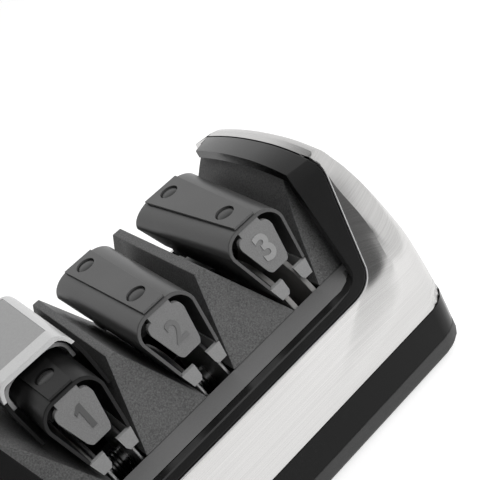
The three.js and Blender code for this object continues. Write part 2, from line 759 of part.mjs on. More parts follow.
function makeSwitch() {
  const half = rimWidth / 2;
  const high = rimHeight / 2;
  const hole = block(switchX - rockerWidth / 2 - clearance, switchX + rockerWidth / 2 + clearance,
    frontY - overrun, frontY + 2 * cornerRadius, switchZ - rockerHeight / 2 - clearance,
    switchZ + rockerHeight / 2 + clearance);
  const flange = block(switchX - half, switchX + half, frontY - rimProud - clearance, frontY - clearance,
    switchZ - high, switchZ + high);
  const inset = rimProud + clearance;
  const body = block(switchX - half + inset, switchX + half - inset, frontY - rimProud,
    frontY + rockerDepth + rimProud, switchZ - high + inset, switchZ + high - inset);
  place("switch_rim", flange.add(body).subtract(hole), blackSatin);
  const pivot = frontY + rockerDepth / 2;
  const rocker = runAcross(shapeOf([
    [frontY - rockerProud, switchZ - rockerHeight / 2 + 2 * clearance],
    [frontY - rockerProud, switchZ - rockerHeight / 3],
    [frontY - rockerProud / 4, switchZ],
    [frontY - rockerProud / 2, switchZ + rockerHeight / 3],
    [frontY, switchZ + rockerHeight / 2 - 2 * clearance],
    [pivot + rockerProud, switchZ + rockerHeight / 4],
    [pivot + rockerProud, switchZ - rockerHeight / 4]]),
    switchX - rockerWidth / 2, switchX + rockerWidth / 2);
  place("switch_rocker", rocker, blackGloss);
}

function makeInlet() {
  const profile = [[inletBore, -inletDepth], [inletRadius - inletProud - clearance, -inletDepth],
    [inletRadius - inletProud - clearance, clearance], [inletRadius, clearance], [inletRadius, inletProud],
    [inletBore + inletProud, inletProud], [inletBore, 0], [inletBore, -inletDepth]];
  const points = profile.map(([radius, along]) => new THREE.Vector2(radius, along));
  place("cord_inlet", solidOf(new THREE.LatheGeometry(points, 24).translate(inletX, backY, inletZ)), rubber);
}

// Shaft, hubs, discs and springs
function discProfile(radius, wall, bore) {
  return [[bore, -discBossWall / 2], [discBossRadius, -discBossWall / 2], [discBossRadius, -wall / 2],
    [radius, -wall / 2], [radius, wall / 2], [discBossRadius, wall / 2], [discBossRadius, discBossWall / 2],
    [bore, discBossWall / 2], [bore, -discBossWall / 2]];
}

function stropProfile(radius, wall, bore) {
  return [[bore, -wall / 2], [radius, -wall / 2], [radius, wall / 2], [bore, wall / 2], [bore, -wall / 2]];
}

function springGeometry(x, length) {
  const radius = hubRadius + springWire + clearance;
  const turns = springTurns;
  class Helix extends THREE.Curve {
    getPoint(t, target = new THREE.Vector3()) {
      const angle = 2 * Math.PI * turns * t;
      const y = shaftY + radius * Math.cos(angle);
      return target.set(x + length * (t - 0.5), y, shaftZ + radius * Math.sin(angle));
    }
  }
  const wire = new THREE.Shape();
  wire.absarc(0, 0, springWire / 2, 0, 2 * Math.PI);
  return new THREE.ExtrudeGeometry(wire, { steps: 8 * turns, curveSegments: 3, extrudePath: new Helix() });
}

function makeDrive() {
  const shaftEnd = pillarRightX + shaftOverhang;
  place("drive_shaft", rodX(shaftRadius, pillarLeftX - shaftOverhang, shaftEnd, shaftY, shaftZ), steelPlain);
  const hubBore = shaftRadius + clearance;
  const hubPart = (radius, near, far) => tubeX(hubBore, radius, near, far, shaftY, shaftZ);
  stageX.forEach((x, index) => {
    const name = stageNames[index];
    const strop = index === 2;
    const offset = strop ? stropOffset : discOffset;
    const thickness = strop ? stropWall : discBossWall;
    const bore = hubRadius + clearance;
    const collar = offset + thickness / 2 + clearance;
    const hub = hubPart(hubRadius, x - hubHalf, x + hubHalf)
      .add(hubPart(hubCollarRadius, x - collar - hubCollarWidth, x - collar))
      .add(hubPart(hubCollarRadius, x + collar, x + collar + hubCollarWidth));
    place(`disc_hub_${name}`, hub, steelPlain);
    const kind = strop ? "strop" : "diamond";
    const profile = strop
      ? stropProfile(stropRadius, stropWall, bore) : discProfile(discRadius, discWall, bore);
    for (const side of [-1, 1]) {
      const disc = turnedX(profile, x + side * offset, shaftY, shaftZ, 28);
      place(`${kind}_disc_${name}_${side < 0 ? "left" : "right"}`, disc, strop ? stropFinish : steelPlain);
    }
    const room = 2 * (offset - thickness / 2 - discTravel - clearance) - springWire;
    place(`disc_spring_${name}`, springGeometry(x, room), steelPlain);
  });
}

// Shaded pole motor between stages 1 and 2
function makeMotor() {
  const left = motorX - stackHalf;
  const right = motorX + stackHalf;
  const top = shaftZ + stackTop;
  const bottom = footHeight + trayFloor + motorLift;
  const stack = block(left, right, shaftY - stackFront, shaftY + stackFront, bottom, top)
    .subtract(rodX(rotorRadius + rotorGap, left - overrun, right + overrun, shaftY, shaftZ, 24))
    .subtract(block(left - overrun, right + overrun, shaftY - windowHalf, shaftY + windowHalf,
      bottom + legHeight, shaftZ - windowTop));
  const holes = [-1, 1].map((side) => rodX(motorScrewRadius + clearance, left - overrun, right + overrun,
    shaftY + side * motorScrewY, shaftZ, 12));
  place("motor_stator", stack.subtract(joined(holes)), lamination);

  const coilZ = bottom + legHeight / 2;
  const coilShell = (grow) => block(left - grow, right + grow, shaftY - coilHalf, shaftY + coilHalf,
    coilZ - legHeight / 2 - grow, coilZ + legHeight / 2 + grow);
  const leg = block(left - clearance, right + clearance, shaftY - coilHalf - overrun,
    shaftY + coilHalf + overrun, bottom - overrun, bottom + legHeight + clearance);
  const outside = block(left - coilWall, right + coilWall, shaftY - coilHalf, shaftY + coilHalf,
    bottom + legHeight / 4, bottom + legHeight + coilWall);
  place("motor_coil", coilShell(0).add(outside).subtract(leg), copper);

  place("motor_rotor", tubeX(shaftRadius + clearance, rotorRadius, left - rotorProud, right + rotorProud,
    shaftY, shaftZ, 24), lamination);

  for (const side of [-1, 1]) {
    const face = side < 0 ? left - clearance : right + clearance;
    const out = face + side * (bracketStandoff + bracketWall);
    const near = face + side * bracketStandoff;
    const plate = block(Math.min(near, out), Math.max(near, out), shaftY - motorScrewY - bracketStandoff,
      shaftY + motorScrewY + bracketStandoff, shaftZ - bracketHalf, shaftZ + bracketHalf);
    const lug = (dir) => rodX(bracketStandoff, Math.min(face, out), Math.max(face, out),
      shaftY + dir * motorScrewY, shaftZ, 12);
    const hole = (dir) => rodX(motorScrewRadius + clearance, left - 2 * overrun, right + 2 * overrun,
      shaftY + dir * motorScrewY, shaftZ, 12);
    const leg = (dir) => block(Math.min(near, out), Math.max(near, out),
      shaftY + dir * motorScrewY - bracketStandoff, shaftY + dir * motorScrewY + bracketStandoff,
      footHeight + trayFloor + clearance, shaftZ);
    const bracket = plate.add(lug(-1)).add(lug(1)).add(leg(-1)).add(leg(1))
      .subtract(rodX(bearingRadius + clearance, left - 2 * overrun, right + 2 * overrun, shaftY, shaftZ))
      .subtract(hole(-1)).subtract(hole(1));
    place(`motor_bracket_${side < 0 ? "left" : "right"}`, bracket, steelPlain);
  }
}

function makeSupports() {
  const bushOffset = stackHalf + bracketStandoff + bracketWall / 2 + clearance;
  for (const [name, side] of [["left", -1], ["right", 1]]) {
    const x = motorX + side * bushOffset;
    place(`motor_bush_${name}`, tubeX(shaftRadius + clearance, bearingRadius, x - bearingWidth / 2,
      x + bearingWidth / 2, shaftY, shaftZ), bronze);
  }
  for (const [name, x] of [["left", pillarLeftX], ["right", pillarRightX]]) {
    const floor = footHeight + trayFloor + clearance;
    const shape = shapeOf([[shaftY - pillarWidth, floor], [shaftY + pillarWidth, floor],
      [shaftY + pillarTop, shaftZ + pillarTop], [shaftY - pillarTop, shaftZ + pillarTop]]);
    const pillar = runAcross(shape, x - pillarHalf, x + pillarHalf)
      .subtract(rodX(shaftRadius + clearance, x - overrun, x + overrun, shaftY, shaftZ));
    place(`bearing_pillar_${name}`, pillar, greySmooth);
  }
}

function makeFan() {
  const bore = shaftRadius + clearance;
  const left = fanX - fanWidth / 2;
  const hub = tubeX(bore, fanHubRadius, left, left + fanWidth, shaftY, shaftZ);
  const backplate = tubeX(bore, fanRadius, left, left + fanBladeWall, shaftY, shaftZ, 24);
  const blades = [];
  for (let i = 0; i < fanBlades; i++) {
    const blade = new THREE.BoxGeometry(fanWidth, fanBladeWall, fanRadius - fanHubRadius / 2);
    blade.translate(0, 0, (fanRadius + fanHubRadius / 2) / 2 - clearance);
    blade.rotateX(2 * Math.PI * i / fanBlades);
    blades.push(solidOf(blade.translate(fanX, shaftY, shaftZ)));
  }
  place("cooling_fan", joined([hub, backplate, ...blades]), greySmooth);
}

// The lever that dresses the stropping discs, on a pin under the deck
function makeDresser() {
  const x = stageThreeX;
  const under = deckZ - deckWall - clearance;
  const boss = rodZ(pinBossRadius, x, leverPivotY, leverZ + leverHalf + clearance, under);
  const pin = rodZ(pinRadius, x, leverPivotY, leverZ - leverHalf - pinProud, under - pinProud);
  place("dresser_pin", boss.add(pin), steelPlain);
  const low = leverZ - leverHalf;
  const high = leverZ + leverHalf;
  const arm = block(x - leverWall / 2, x + leverWall / 2, leverPadY, leverTipY, low, high);
  const eye = rodZ(pinBossRadius, x, leverPivotY, low, high);
  const knob = block(x - leverKnobHalf, x + leverKnobHalf, backY - leverWall, leverTipY, low, high);
  const hole = rodZ(pinRadius + clearance, x, leverPivotY, low - overrun, high + overrun);
  place("dresser_lever", arm.add(eye).add(knob).subtract(hole), greySmooth);
}

makeBase();
makeSkirt();
makeBezel();
makeDeck();
makeBlocks();
stageX.forEach((x, index) => makeStage(index));
makeCover();
makeSwitch();
makeInlet();
makeDrive();
makeMotor();
makeSupports();
makeFan();
makeDresser();

export default sharpener;
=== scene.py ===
import bpy
import bmesh
import math
from mathutils import Matrix, Vector


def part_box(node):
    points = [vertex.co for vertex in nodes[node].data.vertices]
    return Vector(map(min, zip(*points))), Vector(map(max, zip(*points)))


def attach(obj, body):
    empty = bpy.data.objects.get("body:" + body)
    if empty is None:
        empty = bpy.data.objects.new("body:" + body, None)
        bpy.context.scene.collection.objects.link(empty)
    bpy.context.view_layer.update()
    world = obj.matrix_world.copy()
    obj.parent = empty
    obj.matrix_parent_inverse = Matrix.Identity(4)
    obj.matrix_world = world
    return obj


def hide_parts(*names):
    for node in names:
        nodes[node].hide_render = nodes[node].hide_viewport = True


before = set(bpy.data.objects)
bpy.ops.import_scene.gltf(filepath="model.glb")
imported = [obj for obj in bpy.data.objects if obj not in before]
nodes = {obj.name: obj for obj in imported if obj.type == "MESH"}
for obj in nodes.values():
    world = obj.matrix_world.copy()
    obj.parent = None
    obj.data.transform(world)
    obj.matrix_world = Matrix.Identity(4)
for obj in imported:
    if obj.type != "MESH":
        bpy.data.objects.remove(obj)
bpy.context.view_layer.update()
mm = 0.001
print("frame loaded:", len(nodes), "nodes")


# Lengths are in millimetres: a piece is built at that size and brought to metres when it is finished
def boxOf(node):
    low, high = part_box(node)
    return low / mm, high / mm


def midOf(node):
    low, high = boxOf(node)
    return (low + high) / 2


def markEdges(bm, angle):
    for face in bm.faces:
        face.smooth = True
    for edge in bm.edges:
        edge.smooth = len(edge.link_faces) == 2 and edge.calc_face_angle(0) < math.radians(angle)


def makePiece(name, bm, body, material, replaced=(), soft=32):
    bmesh.ops.remove_doubles(bm, verts=bm.verts, dist=0.001)
    bmesh.ops.recalc_face_normals(bm, faces=bm.faces)
    markEdges(bm, soft)
    bmesh.ops.scale(bm, vec=(mm, mm, mm), verts=bm.verts)
    mesh = bpy.data.meshes.new(name)
    bm.to_mesh(mesh)
    bm.free()
    piece = bpy.data.objects.new(name, mesh)
    bpy.context.scene.collection.objects.link(piece)
    mesh.materials.append(material)
    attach(piece, body)
    if replaced:
        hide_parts(*replaced)
    piece.modifiers.new("even_shading", "WEIGHTED_NORMAL").keep_sharp = True
    return piece


def copyOf(node):
    bm = bmesh.new()
    bm.from_mesh(nodes[node].data)
    bmesh.ops.scale(bm, vec=(1 / mm, 1 / mm, 1 / mm), verts=bm.verts)
    bmesh.ops.remove_doubles(bm, verts=bm.verts, dist=0.001)
    bmesh.ops.dissolve_limit(bm, angle_limit=math.radians(0.6), verts=bm.verts, edges=bm.edges)
    return bm


def roundEdges(bm, offset, angle=30, segments=2):
    edges = [edge for edge in bm.edges if len(edge.link_faces) == 2
             and edge.calc_face_angle(0) > math.radians(angle)]
    bmesh.ops.bevel(bm, geom=edges, offset=offset, offset_type="OFFSET", affect="EDGES", segments=segments,
                    profile=0.5, material=-1, clamp_overlap=True)
    return bm


def prism(outline, direction):
    bm = bmesh.new()
    face = bm.faces.new([bm.verts.new(point) for point in outline])
    made = bmesh.ops.extrude_face_region(bm, geom=[face])["geom"]
    bmesh.ops.translate(bm, vec=direction, verts=[item for item in made if isinstance(item, bmesh.types.BMVert)])
    bmesh.ops.recalc_face_normals(bm, faces=bm.faces)
    return bm


def blockOf(x0, x1, y0, y1, z0, z1):
    return prism([(x0, y0, z0), (x1, y0, z0), (x1, y1, z0), (x0, y1, z0)], (0, 0, z1 - z0))


# A solid through closed rings of equal counts, capped at both ends
def lofted(rings):
    bm = bmesh.new()
    loops = []
    for ring in rings:
        corners = [bm.verts.new(point) for point in ring]
        loops.append([bm.edges.new((corner, corners[i - 1])) for i, corner in enumerate(corners)])
    for near, far in zip(loops, loops[1:]):
        bmesh.ops.bridge_loops(bm, edges=near + far)
    for loop in (loops[0], loops[-1]):
        bmesh.ops.contextual_create(bm, geom=loop)
    bmesh.ops.recalc_face_normals(bm, faces=bm.faces)
    return bm


# A profile of (radius, distance) spun once about a line along X or Z
def turned(profile, centre, axis="X", steps=64, closed=False):
    bm = bmesh.new()
    if axis == "X":
        corners = [bm.verts.new(centre + Vector((along, 0, radius))) for radius, along in profile]
        line = (1, 0, 0)
    else:
        corners = [bm.verts.new(centre + Vector((radius, 0, along))) for radius, along in profile]
        line = (0, 0, 1)
    edges = [bm.edges.new(pair) for pair in zip(corners, corners[1:])]
    if closed:
        edges.append(bm.edges.new((corners[-1], corners[0])))
    bmesh.ops.spin(bm, geom=corners + edges, cent=centre, axis=line, dvec=(0, 0, 0), angle=2 * math.pi,
                   steps=steps, use_merge=True, use_normal_flip=False, use_duplicate=False)
    bmesh.ops.remove_doubles(bm, verts=bm.verts, dist=0.001)
    bmesh.ops.recalc_face_normals(bm, faces=bm.faces)
    return bm


def carve(bm, cutter, operation="DIFFERENCE"):
    parts = []
    for source in (bm, cutter):
        mesh = bpy.data.meshes.new("carving")
        source.to_mesh(mesh)
        source.free()
        part = bpy.data.objects.new("carving", mesh)
        bpy.context.scene.collection.objects.link(part)
        parts.append(part)
    step = parts[0].modifiers.new("carve", "BOOLEAN")
    step.operation = operation
    step.solver = "EXACT"
    step.object = parts[1]
    bpy.context.view_layer.update()
    result = bmesh.new()
    result.from_object(parts[0], bpy.context.evaluated_depsgraph_get())
    for part in parts:
        mesh = part.data
        bpy.data.objects.remove(part)
        bpy.data.meshes.remove(mesh)
    return result


def mix(a, b, t):
    return a + (b - a) * t


def smoothStep(t):
    return t * t * (3 - 2 * t)


# Materials
def newMaterial(name):
    material = bpy.data.materials.new(name)
    material.use_nodes = True
    return material, material.node_tree, material.node_tree.nodes["Principled BSDF"]


def addNode(tree, kind, **values):
    node = tree.nodes.new(kind)
    for key, value in values.items():
        if key in node.inputs.keys():
            node.inputs[key].default_value = value
        else:
            setattr(node, key, value)
    return node


def grey(value, tint=0.0):
    return (value * (1 + tint), value, value * (1 - tint), 1)


def noiseNode(tree, source, scale, detail=2.0, rough=0.5):
    node = addNode(tree, "ShaderNodeTexNoise", Scale=scale, Detail=detail, Roughness=rough)
    tree.links.new(source, node.inputs["Vector"])
    return node.outputs["Fac"]


def rangeNode(tree, source, low, high, fromLow=0.3, fromHigh=0.7):
    node = addNode(tree, "ShaderNodeMapRange")
    node.inputs["From Min"].default_value = fromLow
    node.inputs["From Max"].default_value = fromHigh
    node.inputs["To Min"].default_value = low
    node.inputs["To Max"].default_value = high
    tree.links.new(source, node.inputs["Value"])
    return node.outputs["Result"]


def mixColour(tree, factor, first, second):
    node = addNode(tree, "ShaderNodeMix", data_type="RGBA")
    tree.links.new(factor, node.inputs["Factor"])
    colours = [socket for socket in node.inputs if socket.type == "RGBA"]
    for socket, value in zip(colours, (first, second)):
        if isinstance(value, tuple):
            socket.default_value = value
        else:
            tree.links.new(value, socket)
    return [socket for socket in node.outputs if socket.type == "RGBA"][0]


def addBump(tree, shader, height, distance, strength=1.0):
    bump = addNode(tree, "ShaderNodeBump", Strength=strength, Distance=distance)
    tree.links.new(height, bump.inputs["Height"])
    tree.links.new(bump.outputs["Normal"], shader.inputs["Normal"])
    return bump


def mouldedPlastic(name, look):
    material, tree, shader = newMaterial(name)
    place = addNode(tree, "ShaderNodeTexCoord").outputs["Object"]
    grain = noiseNode(tree, place, look["grain"], 3.0, 0.6)
    cloud = noiseNode(tree, place, look.get("cloud", 45), 2.0)
    speckle = rangeNode(tree, grain, 0, 1)
    dark, light = look["shade"]
    base = mixColour(tree, speckle, grey(dark, look.get("tint", 0)), grey(light, look.get("tint", 0)))
    patch = mixColour(tree, rangeNode(tree, cloud, 0, look.get("patch", 0.35)), base, grey(light, look.get("tint", 0)))
    tree.links.new(patch, shader.inputs["Base Color"])
    tree.links.new(rangeNode(tree, cloud, look["rough"][0], look["rough"][1]), shader.inputs["Roughness"])
    shader.inputs["Specular IOR Level"].default_value = look.get("specular", 0.5)
    shader.inputs["Metallic"].default_value = look.get("metallic", 0)
    shader.inputs["Coat Weight"].default_value = look.get("coat", 0)
    shader.inputs["Coat Roughness"].default_value = look.get("coatRough", 0.1)
    addBump(tree, shader, grain, look["depth"] * mm)
    return material


def brushedSteel(name, look):
    material, tree, shader = newMaterial(name)
    place = addNode(tree, "ShaderNodeTexCoord").outputs["Object"]
    lines = []
    for stretch in (look["sideStretch"], look["topStretch"]):
        mapping = addNode(tree, "ShaderNodeMapping", Scale=stretch)
        tree.links.new(place, mapping.inputs["Vector"])
        lines.append(noiseNode(tree, mapping.outputs["Vector"], 1.0, 4.0, 0.65))
    normal = addNode(tree, "ShaderNodeNewGeometry").outputs["Normal"]
    parts = addNode(tree, "ShaderNodeSeparateXYZ")
    tree.links.new(normal, parts.inputs[0])
    up = rangeNode(tree, parts.outputs["Z"], 0, 1, 0.86, 0.96)
    blend = addNode(tree, "ShaderNodeMix", data_type="FLOAT")
    tree.links.new(up, blend.inputs[0])
    tree.links.new(lines[0], blend.inputs[2])
    tree.links.new(lines[1], blend.inputs[3])
    scratch = blend.outputs[0]
    cloud = noiseNode(tree, place, 25, 2.0)
    tone = mixColour(tree, rangeNode(tree, scratch, 0, 1, 0.25, 0.75), grey(look["shade"][0], 0.01), grey(look["shade"][1], 0.01))
    tree.links.new(tone, shader.inputs["Base Color"])
    wear = addNode(tree, "ShaderNodeMath", operation="MULTIPLY_ADD")
    tree.links.new(scratch, wear.inputs[0])
    wear.inputs[1].default_value = look["roughSpread"]
    tree.links.new(rangeNode(tree, cloud, look["rough"][0], look["rough"][1]), wear.inputs[2])
    tree.links.new(wear.outputs[0], shader.inputs["Roughness"])
    shader.inputs["Metallic"].default_value = 1.0
    addBump(tree, shader, scratch, look["depth"] * mm)
    return material


def turnedSteel(name, look):
    material, tree, shader = newMaterial(name)
    place = addNode(tree, "ShaderNodeTexCoord").outputs["Object"]
    mapping = addNode(tree, "ShaderNodeMapping", Scale=look["stretch"])
    tree.links.new(place, mapping.inputs["Vector"])
    rings = noiseNode(tree, mapping.outputs["Vector"], 1.0, 3.0)
    tree.links.new(mixColour(tree, rangeNode(tree, rings, 0, 1), look["dark"], look["light"]), shader.inputs["Base Color"])
    tree.links.new(rangeNode(tree, rings, look["rough"][0], look["rough"][1]), shader.inputs["Roughness"])
    shader.inputs["Metallic"].default_value = 1.0
    addBump(tree, shader, rings, look["depth"] * mm)
    return material


skirtSteel = brushedSteel("brushed_skirt_steel", dict(
    sideStretch=(9, 9, 3600), topStretch=(3600, 9, 2000), shade=(0.52, 0.65), rough=(0.18, 0.22), roughSpread=0.08,
    depth=0.004))
bezelBlack = mouldedPlastic("satin_black_bezel", dict(
    shade=(0.006, 0.009), grain=1500, depth=0.006, rough=(0.2, 0.24), specular=0.38))
bandBlack = mouldedPlastic("gloss_black_band", dict(
    shade=(0.004, 0.006), grain=400, depth=0.002, rough=(0.1, 0.14), specular=0.12))
trayBlack = mouldedPlastic("matt_black_tray", dict(
    shade=(0.018, 0.05), grain=2400, depth=0.06, rough=(0.55, 0.65)))
wedgeGrey = mouldedPlastic("textured_wedge_grey", dict(
    shade=(0.025, 0.12), grain=1250, depth=0.14, rough=(0.5, 0.62), cloud=120, patch=0.3))
deckGrey = mouldedPlastic("smooth_deck_grey", dict(
    shade=(0.12, 0.14), grain=1400, depth=0.012, rough=(0.42, 0.5)))
saddleGrey = mouldedPlastic("satin_saddle_grey", dict(
    shade=(0.042, 0.052), grain=1600, depth=0.015, rough=(0.3, 0.36), specular=0.7))
stripGrey = mouldedPlastic("satin_strip_grey", dict(
    shade=(0.066, 0.08), grain=1600, depth=0.02, rough=(0.38, 0.46)))
plateGrey = mouldedPlastic("textured_plate_grey", dict(
    shade=(0.13, 0.19), grain=1800, depth=0.07, rough=(0.5, 0.6)))
railGrey = mouldedPlastic("smooth_rail_grey", dict(
    shade=(0.2, 0.25), grain=1500, depth=0.02, rough=(0.42, 0.5)))
# One digit finish at three tones: painted shade darkens 1 under the cover and 2, and painted light brightens 3
digitLitAndShaded = {name: mouldedPlastic("smooth_digit_%s_grey" % name, dict(
    shade=(tone * 0.92, tone), grain=1200, depth=0.01, rough=(0.4, 0.45)))
    for name, tone in (("1", 0.07), ("2", 0.125), ("3", 0.27))}
coverSilver = mouldedPlastic("silver_cover_plastic", dict(
    shade=(0.52, 0.58), grain=1500, depth=0.01, rough=(0.32, 0.38), metallic=0.25))
# Painted shade: stage 1's saddle and strip take this darker grey in place of the cover's shadow over them
paintedShadeGrey = mouldedPlastic("saddle_grey_painted_shade", dict(
    shade=(0.005, 0.008), grain=1600, depth=0.015, rough=(0.36, 0.42), specular=0.3))
plugDark = mouldedPlastic("dark_screw_plug", dict(
    shade=(0.012, 0.018), grain=1500, depth=0.006, rough=(0.26, 0.32), specular=0.6))
# Painted shade: the near-black finish for the cover's walls and for its faces turned sideways or down
coverPaintedShade = mouldedPlastic("cover_wall_painted_shade", dict(
    shade=(0.004, 0.007), grain=1500, depth=0.01, rough=(0.42, 0.5), specular=0.25))
# The cover liner's own silver, also used for the painted highlight along the bezel's edge
linerSilverAndHighlight = mouldedPlastic("silver_liner_and_painted_highlight", dict(
    shade=(0.42, 0.48), grain=1500, depth=0.015, rough=(0.4, 0.46), metallic=0.2))
panelPale = mouldedPlastic("pale_panel_film", dict(
    shade=(0.27, 0.31), grain=900, depth=0.004, rough=(0.3, 0.36)))
rubberBlack = mouldedPlastic("rubber_black", dict(
    shade=(0.015, 0.022), grain=2400, depth=0.03, rough=(0.7, 0.8)))
fanGrey = mouldedPlastic("fan_and_pillar_grey", dict(
    shade=(0.12, 0.15), grain=1300, depth=0.03, rough=(0.45, 0.55)))
stropPale = mouldedPlastic("strop_disc_pale", dict(
    shade=(0.2, 0.28), grain=2600, depth=0.05, rough=(0.55, 0.65), tint=0.02))
diamondSteel = turnedSteel("diamond_disc_steel", dict(
    stretch=(3000, 3000, 3000), dark=grey(0.42), light=grey(0.78), rough=(0.3, 0.6), depth=0.05))
plainSteel = turnedSteel("turned_plain_steel", dict(
    stretch=(1800, 40, 40), dark=grey(0.5), light=grey(0.66), rough=(0.25, 0.38), depth=0.006))
screwSteel = turnedSteel("dark_screw_steel", dict(
    stretch=(900, 900, 900), dark=grey(0.06), light=grey(0.12), rough=(0.35, 0.45), depth=0.008))
bushBronze = turnedSteel("sintered_bronze", dict(
    stretch=(2500, 2500, 2500), dark=(0.32, 0.2, 0.09, 1), light=(0.55, 0.38, 0.2, 1), rough=(0.4, 0.6), depth=0.03))
coilCopper = turnedSteel("copper_winding", dict(
    stretch=(40, 40, 2800), dark=(0.3, 0.1, 0.04, 1), light=(0.72, 0.32, 0.16, 1), rough=(0.25, 0.4), depth=0.12))
platedStack = turnedSteel("stacked_laminations", dict(
    stretch=(2600, 30, 30), dark=grey(0.13), light=grey(0.3), rough=(0.4, 0.55), depth=0.08))
print("materials made:", len(bpy.data.materials))

# Places shared by the pieces
trayLow, trayHigh = boxOf("base_tray")
crestZ = boxOf("bezel")[1].z
frontY, backY = trayLow.y, trayHigh.y
halfWidth = trayHigh.x
stageNames = ("1", "2", "3")
stageMids = {name: midOf("stage_frame_" + name).x for name in stageNames}
slope = dict(crestSetback=51.0, footSetback=9.6, footDrop=50.0)
crestFrontY = frontY + slope["crestSetback"]
slopeFootY = frontY + slope["footSetback"]
slopeDown = Vector((0, slopeFootY - crestFrontY, -slope["footDrop"])).normalized()
slopeOut = Vector((0, slopeDown.z, -slopeDown.y))
slopeLength = math.hypot(crestFrontY - slopeFootY, slope["footDrop"])


def onSlope(x, down, out=0.0):
    return Vector((x, crestFrontY, crestZ)) + slopeDown * down + slopeOut * out


# The tower crests bow from front to back, and every piece that meets them is lifted with them
crest = dict(rise=4.3, peak=9.0, frontFall=0.0038, backFall=0.0019, tilt=0.107, tiltFrom=91.0, tiltTo=106.0,
             liftDrop=51.5, tiltLowDrop=26.5, tiltHighDrop=8.5, fadeFrom=-31.0, fadeTo=-22.0)


def between(value, low, high):
    return smoothStep(max(0.0, min(1.0, (value - low) / (high - low))))


def crestLift(point):
    back = point.y - crest["peak"]
    rise = crest["rise"] - (crest["backFall"] if back > 0 else crest["frontFall"]) * back * back
    if back < 0:
        rise = (rise + math.sqrt(rise * rise + 0.5)) / 2
    share = max(0.0, min(1.0, (point.z - crestZ + crest["liftDrop"]) / crest["liftDrop"]))
    outward = max(0.0, min(abs(point.x), crest["tiltTo"]) - crest["tiltFrom"])
    fall = crest["tilt"] * outward * between(point.z - crestZ, -crest["tiltLowDrop"], -crest["tiltHighDrop"])
    return rise * share - fall * between(point.y, crest["fadeFrom"], crest["fadeTo"])


def bowCrest(bm, step=4.0):
    y = -28.0
    while y < backY:
        bmesh.ops.bisect_plane(bm, geom=bm.verts[:] + bm.edges[:] + bm.faces[:], dist=0.001, plane_co=(0, y, 0),
                               plane_no=(0, 1, 0))
        y += step
    for corner in bm.verts:
        corner.co.z += crestLift(corner.co)
    return bm


# Steel skirt
skirt = dict(
    heightSteps=46, cornerSteps=10, scoopSteps=8, sideSteps=24, wall=2.0, corner=17.0, gap=0.4, wellDepth=5.4, roofSetback=2.5, softBackY=-15.0, rearShare=0.05,
    leverSlotHalf=15.0, leverSlotRise=3.6,
    # height, front, corner radius, side inset, crease half width, dish half width, crease front, as shares
    levelShares=[
        (0, 0.005, 1, 0, 0.3, 0.098, 0.005), (0.1, 0.02, 1, 0, 0.59, 0.274, 0.02),
        (0.22, 0.05, 0.97, 0.001, 0.747, 0.43, 0.05), (0.32, 0.092, 0.91, 0.0017, 0.795, 0.548, 0.092),
        (0.39, 0.122, 0.88, 0.0017, 0.807, 0.646, 0.122), (0.46, 0.163, 0.85, 0.0017, 0.818, 0.72, 0.163),
        (0.53, 0.23, 0.78, 0.0017, 0.832, 0.757, 0.23), (0.6, 0.31, 0.7, 0.0017, 0.848, 0.79, 0.315),
        (0.68, 0.411, 0.6, 0.0021, 0.869, 0.823, 0.46), (0.75, 0.514, 0.53, 0.0026, 0.8817, 0.852, 0.6),
        (0.82, 0.645, 0.47, 0.0034, 0.8936, 0.88, 0.733), (0.88, 0.753, 0.44, 0.005, 0.9075, 0.903, 0.826),
        (0.94, 0.851, 0.41, 0.011, 0.9155, 0.9135, 0.9), (0.965, 0.9, 0.38, 0.017, 0.9145, 0.912, 0.931),
        (0.982, 0.938, 0.34, 0.0255, 0.911, 0.9085, 0.959), (0.993, 0.968, 0.28, 0.038, 0.907, 0.9045, 0.978),
        (1, 0.994, 0.22, 0.0596, 0.904, 0.9025, 0.99)],
    frontSteps=18, arcPull=0.45, bulgeFrom=0.36, bulgeTo=0.68, bulgeHold=0.55, bulgeTurn=0.26, bulgeShare=0.55, scoopPower=1.45)


# The row of shares at a height, as a smooth curve through the rows listed
def levelAt(height):
    rows = skirt["levelShares"]
    i = max(1, next((k for k, row in enumerate(rows) if row[0] >= height), len(rows) - 1))
    near, far = rows[i - 1], rows[i]
    before, after = rows[max(0, i - 2)], rows[min(len(rows) - 1, i + 1)]
    span = far[0] - near[0]
    t = (height - near[0]) / span
    shares = []
    for a, b, c, d in zip(before, near, far, after):
        leave = (c - a) / (far[0] - before[0]) * span
        arrive = (d - b) / (after[0] - near[0]) * span
        shares.append((2 * t ** 3 - 3 * t ** 2 + 1) * b + (t ** 3 - 2 * t ** 2 + t) * leave
                      + (3 * t ** 2 - 2 * t ** 3) * c + (t ** 3 - t ** 2) * arrive)
    return shares


def curved(start, bend, end, steps=10):
    return [tuple((1 - t) ** 2 * a + 2 * t * (1 - t) * b + t * t * c for a, b, c in zip(start, bend, end))
            for t in (i / steps for i in range(steps + 1))]


def cubic(points, t):
    shares = ((1 - t) ** 3, 3 * t * (1 - t) ** 2, 3 * t * t * (1 - t), t ** 3)
    return tuple(sum(share * point[k] for share, point in zip(shares, points)) for k in (0, 1))


# The same line with its points spaced evenly along it
def evenly(line, steps):
    lengths = [math.dist(a, b) for a, b in zip(line, line[1:])]
    total, points, i, walked = sum(lengths), [line[0]], 0, 0.0
    for k in range(1, steps):
        goal = total * k / steps
        while walked + lengths[i] < goal:
            walked += lengths[i]
            i += 1
        t = (goal - walked) / lengths[i]
        points.append(tuple(mix(a, b, t) for a, b in zip(line[i], line[i + 1])))
    return points + [line[-1]]


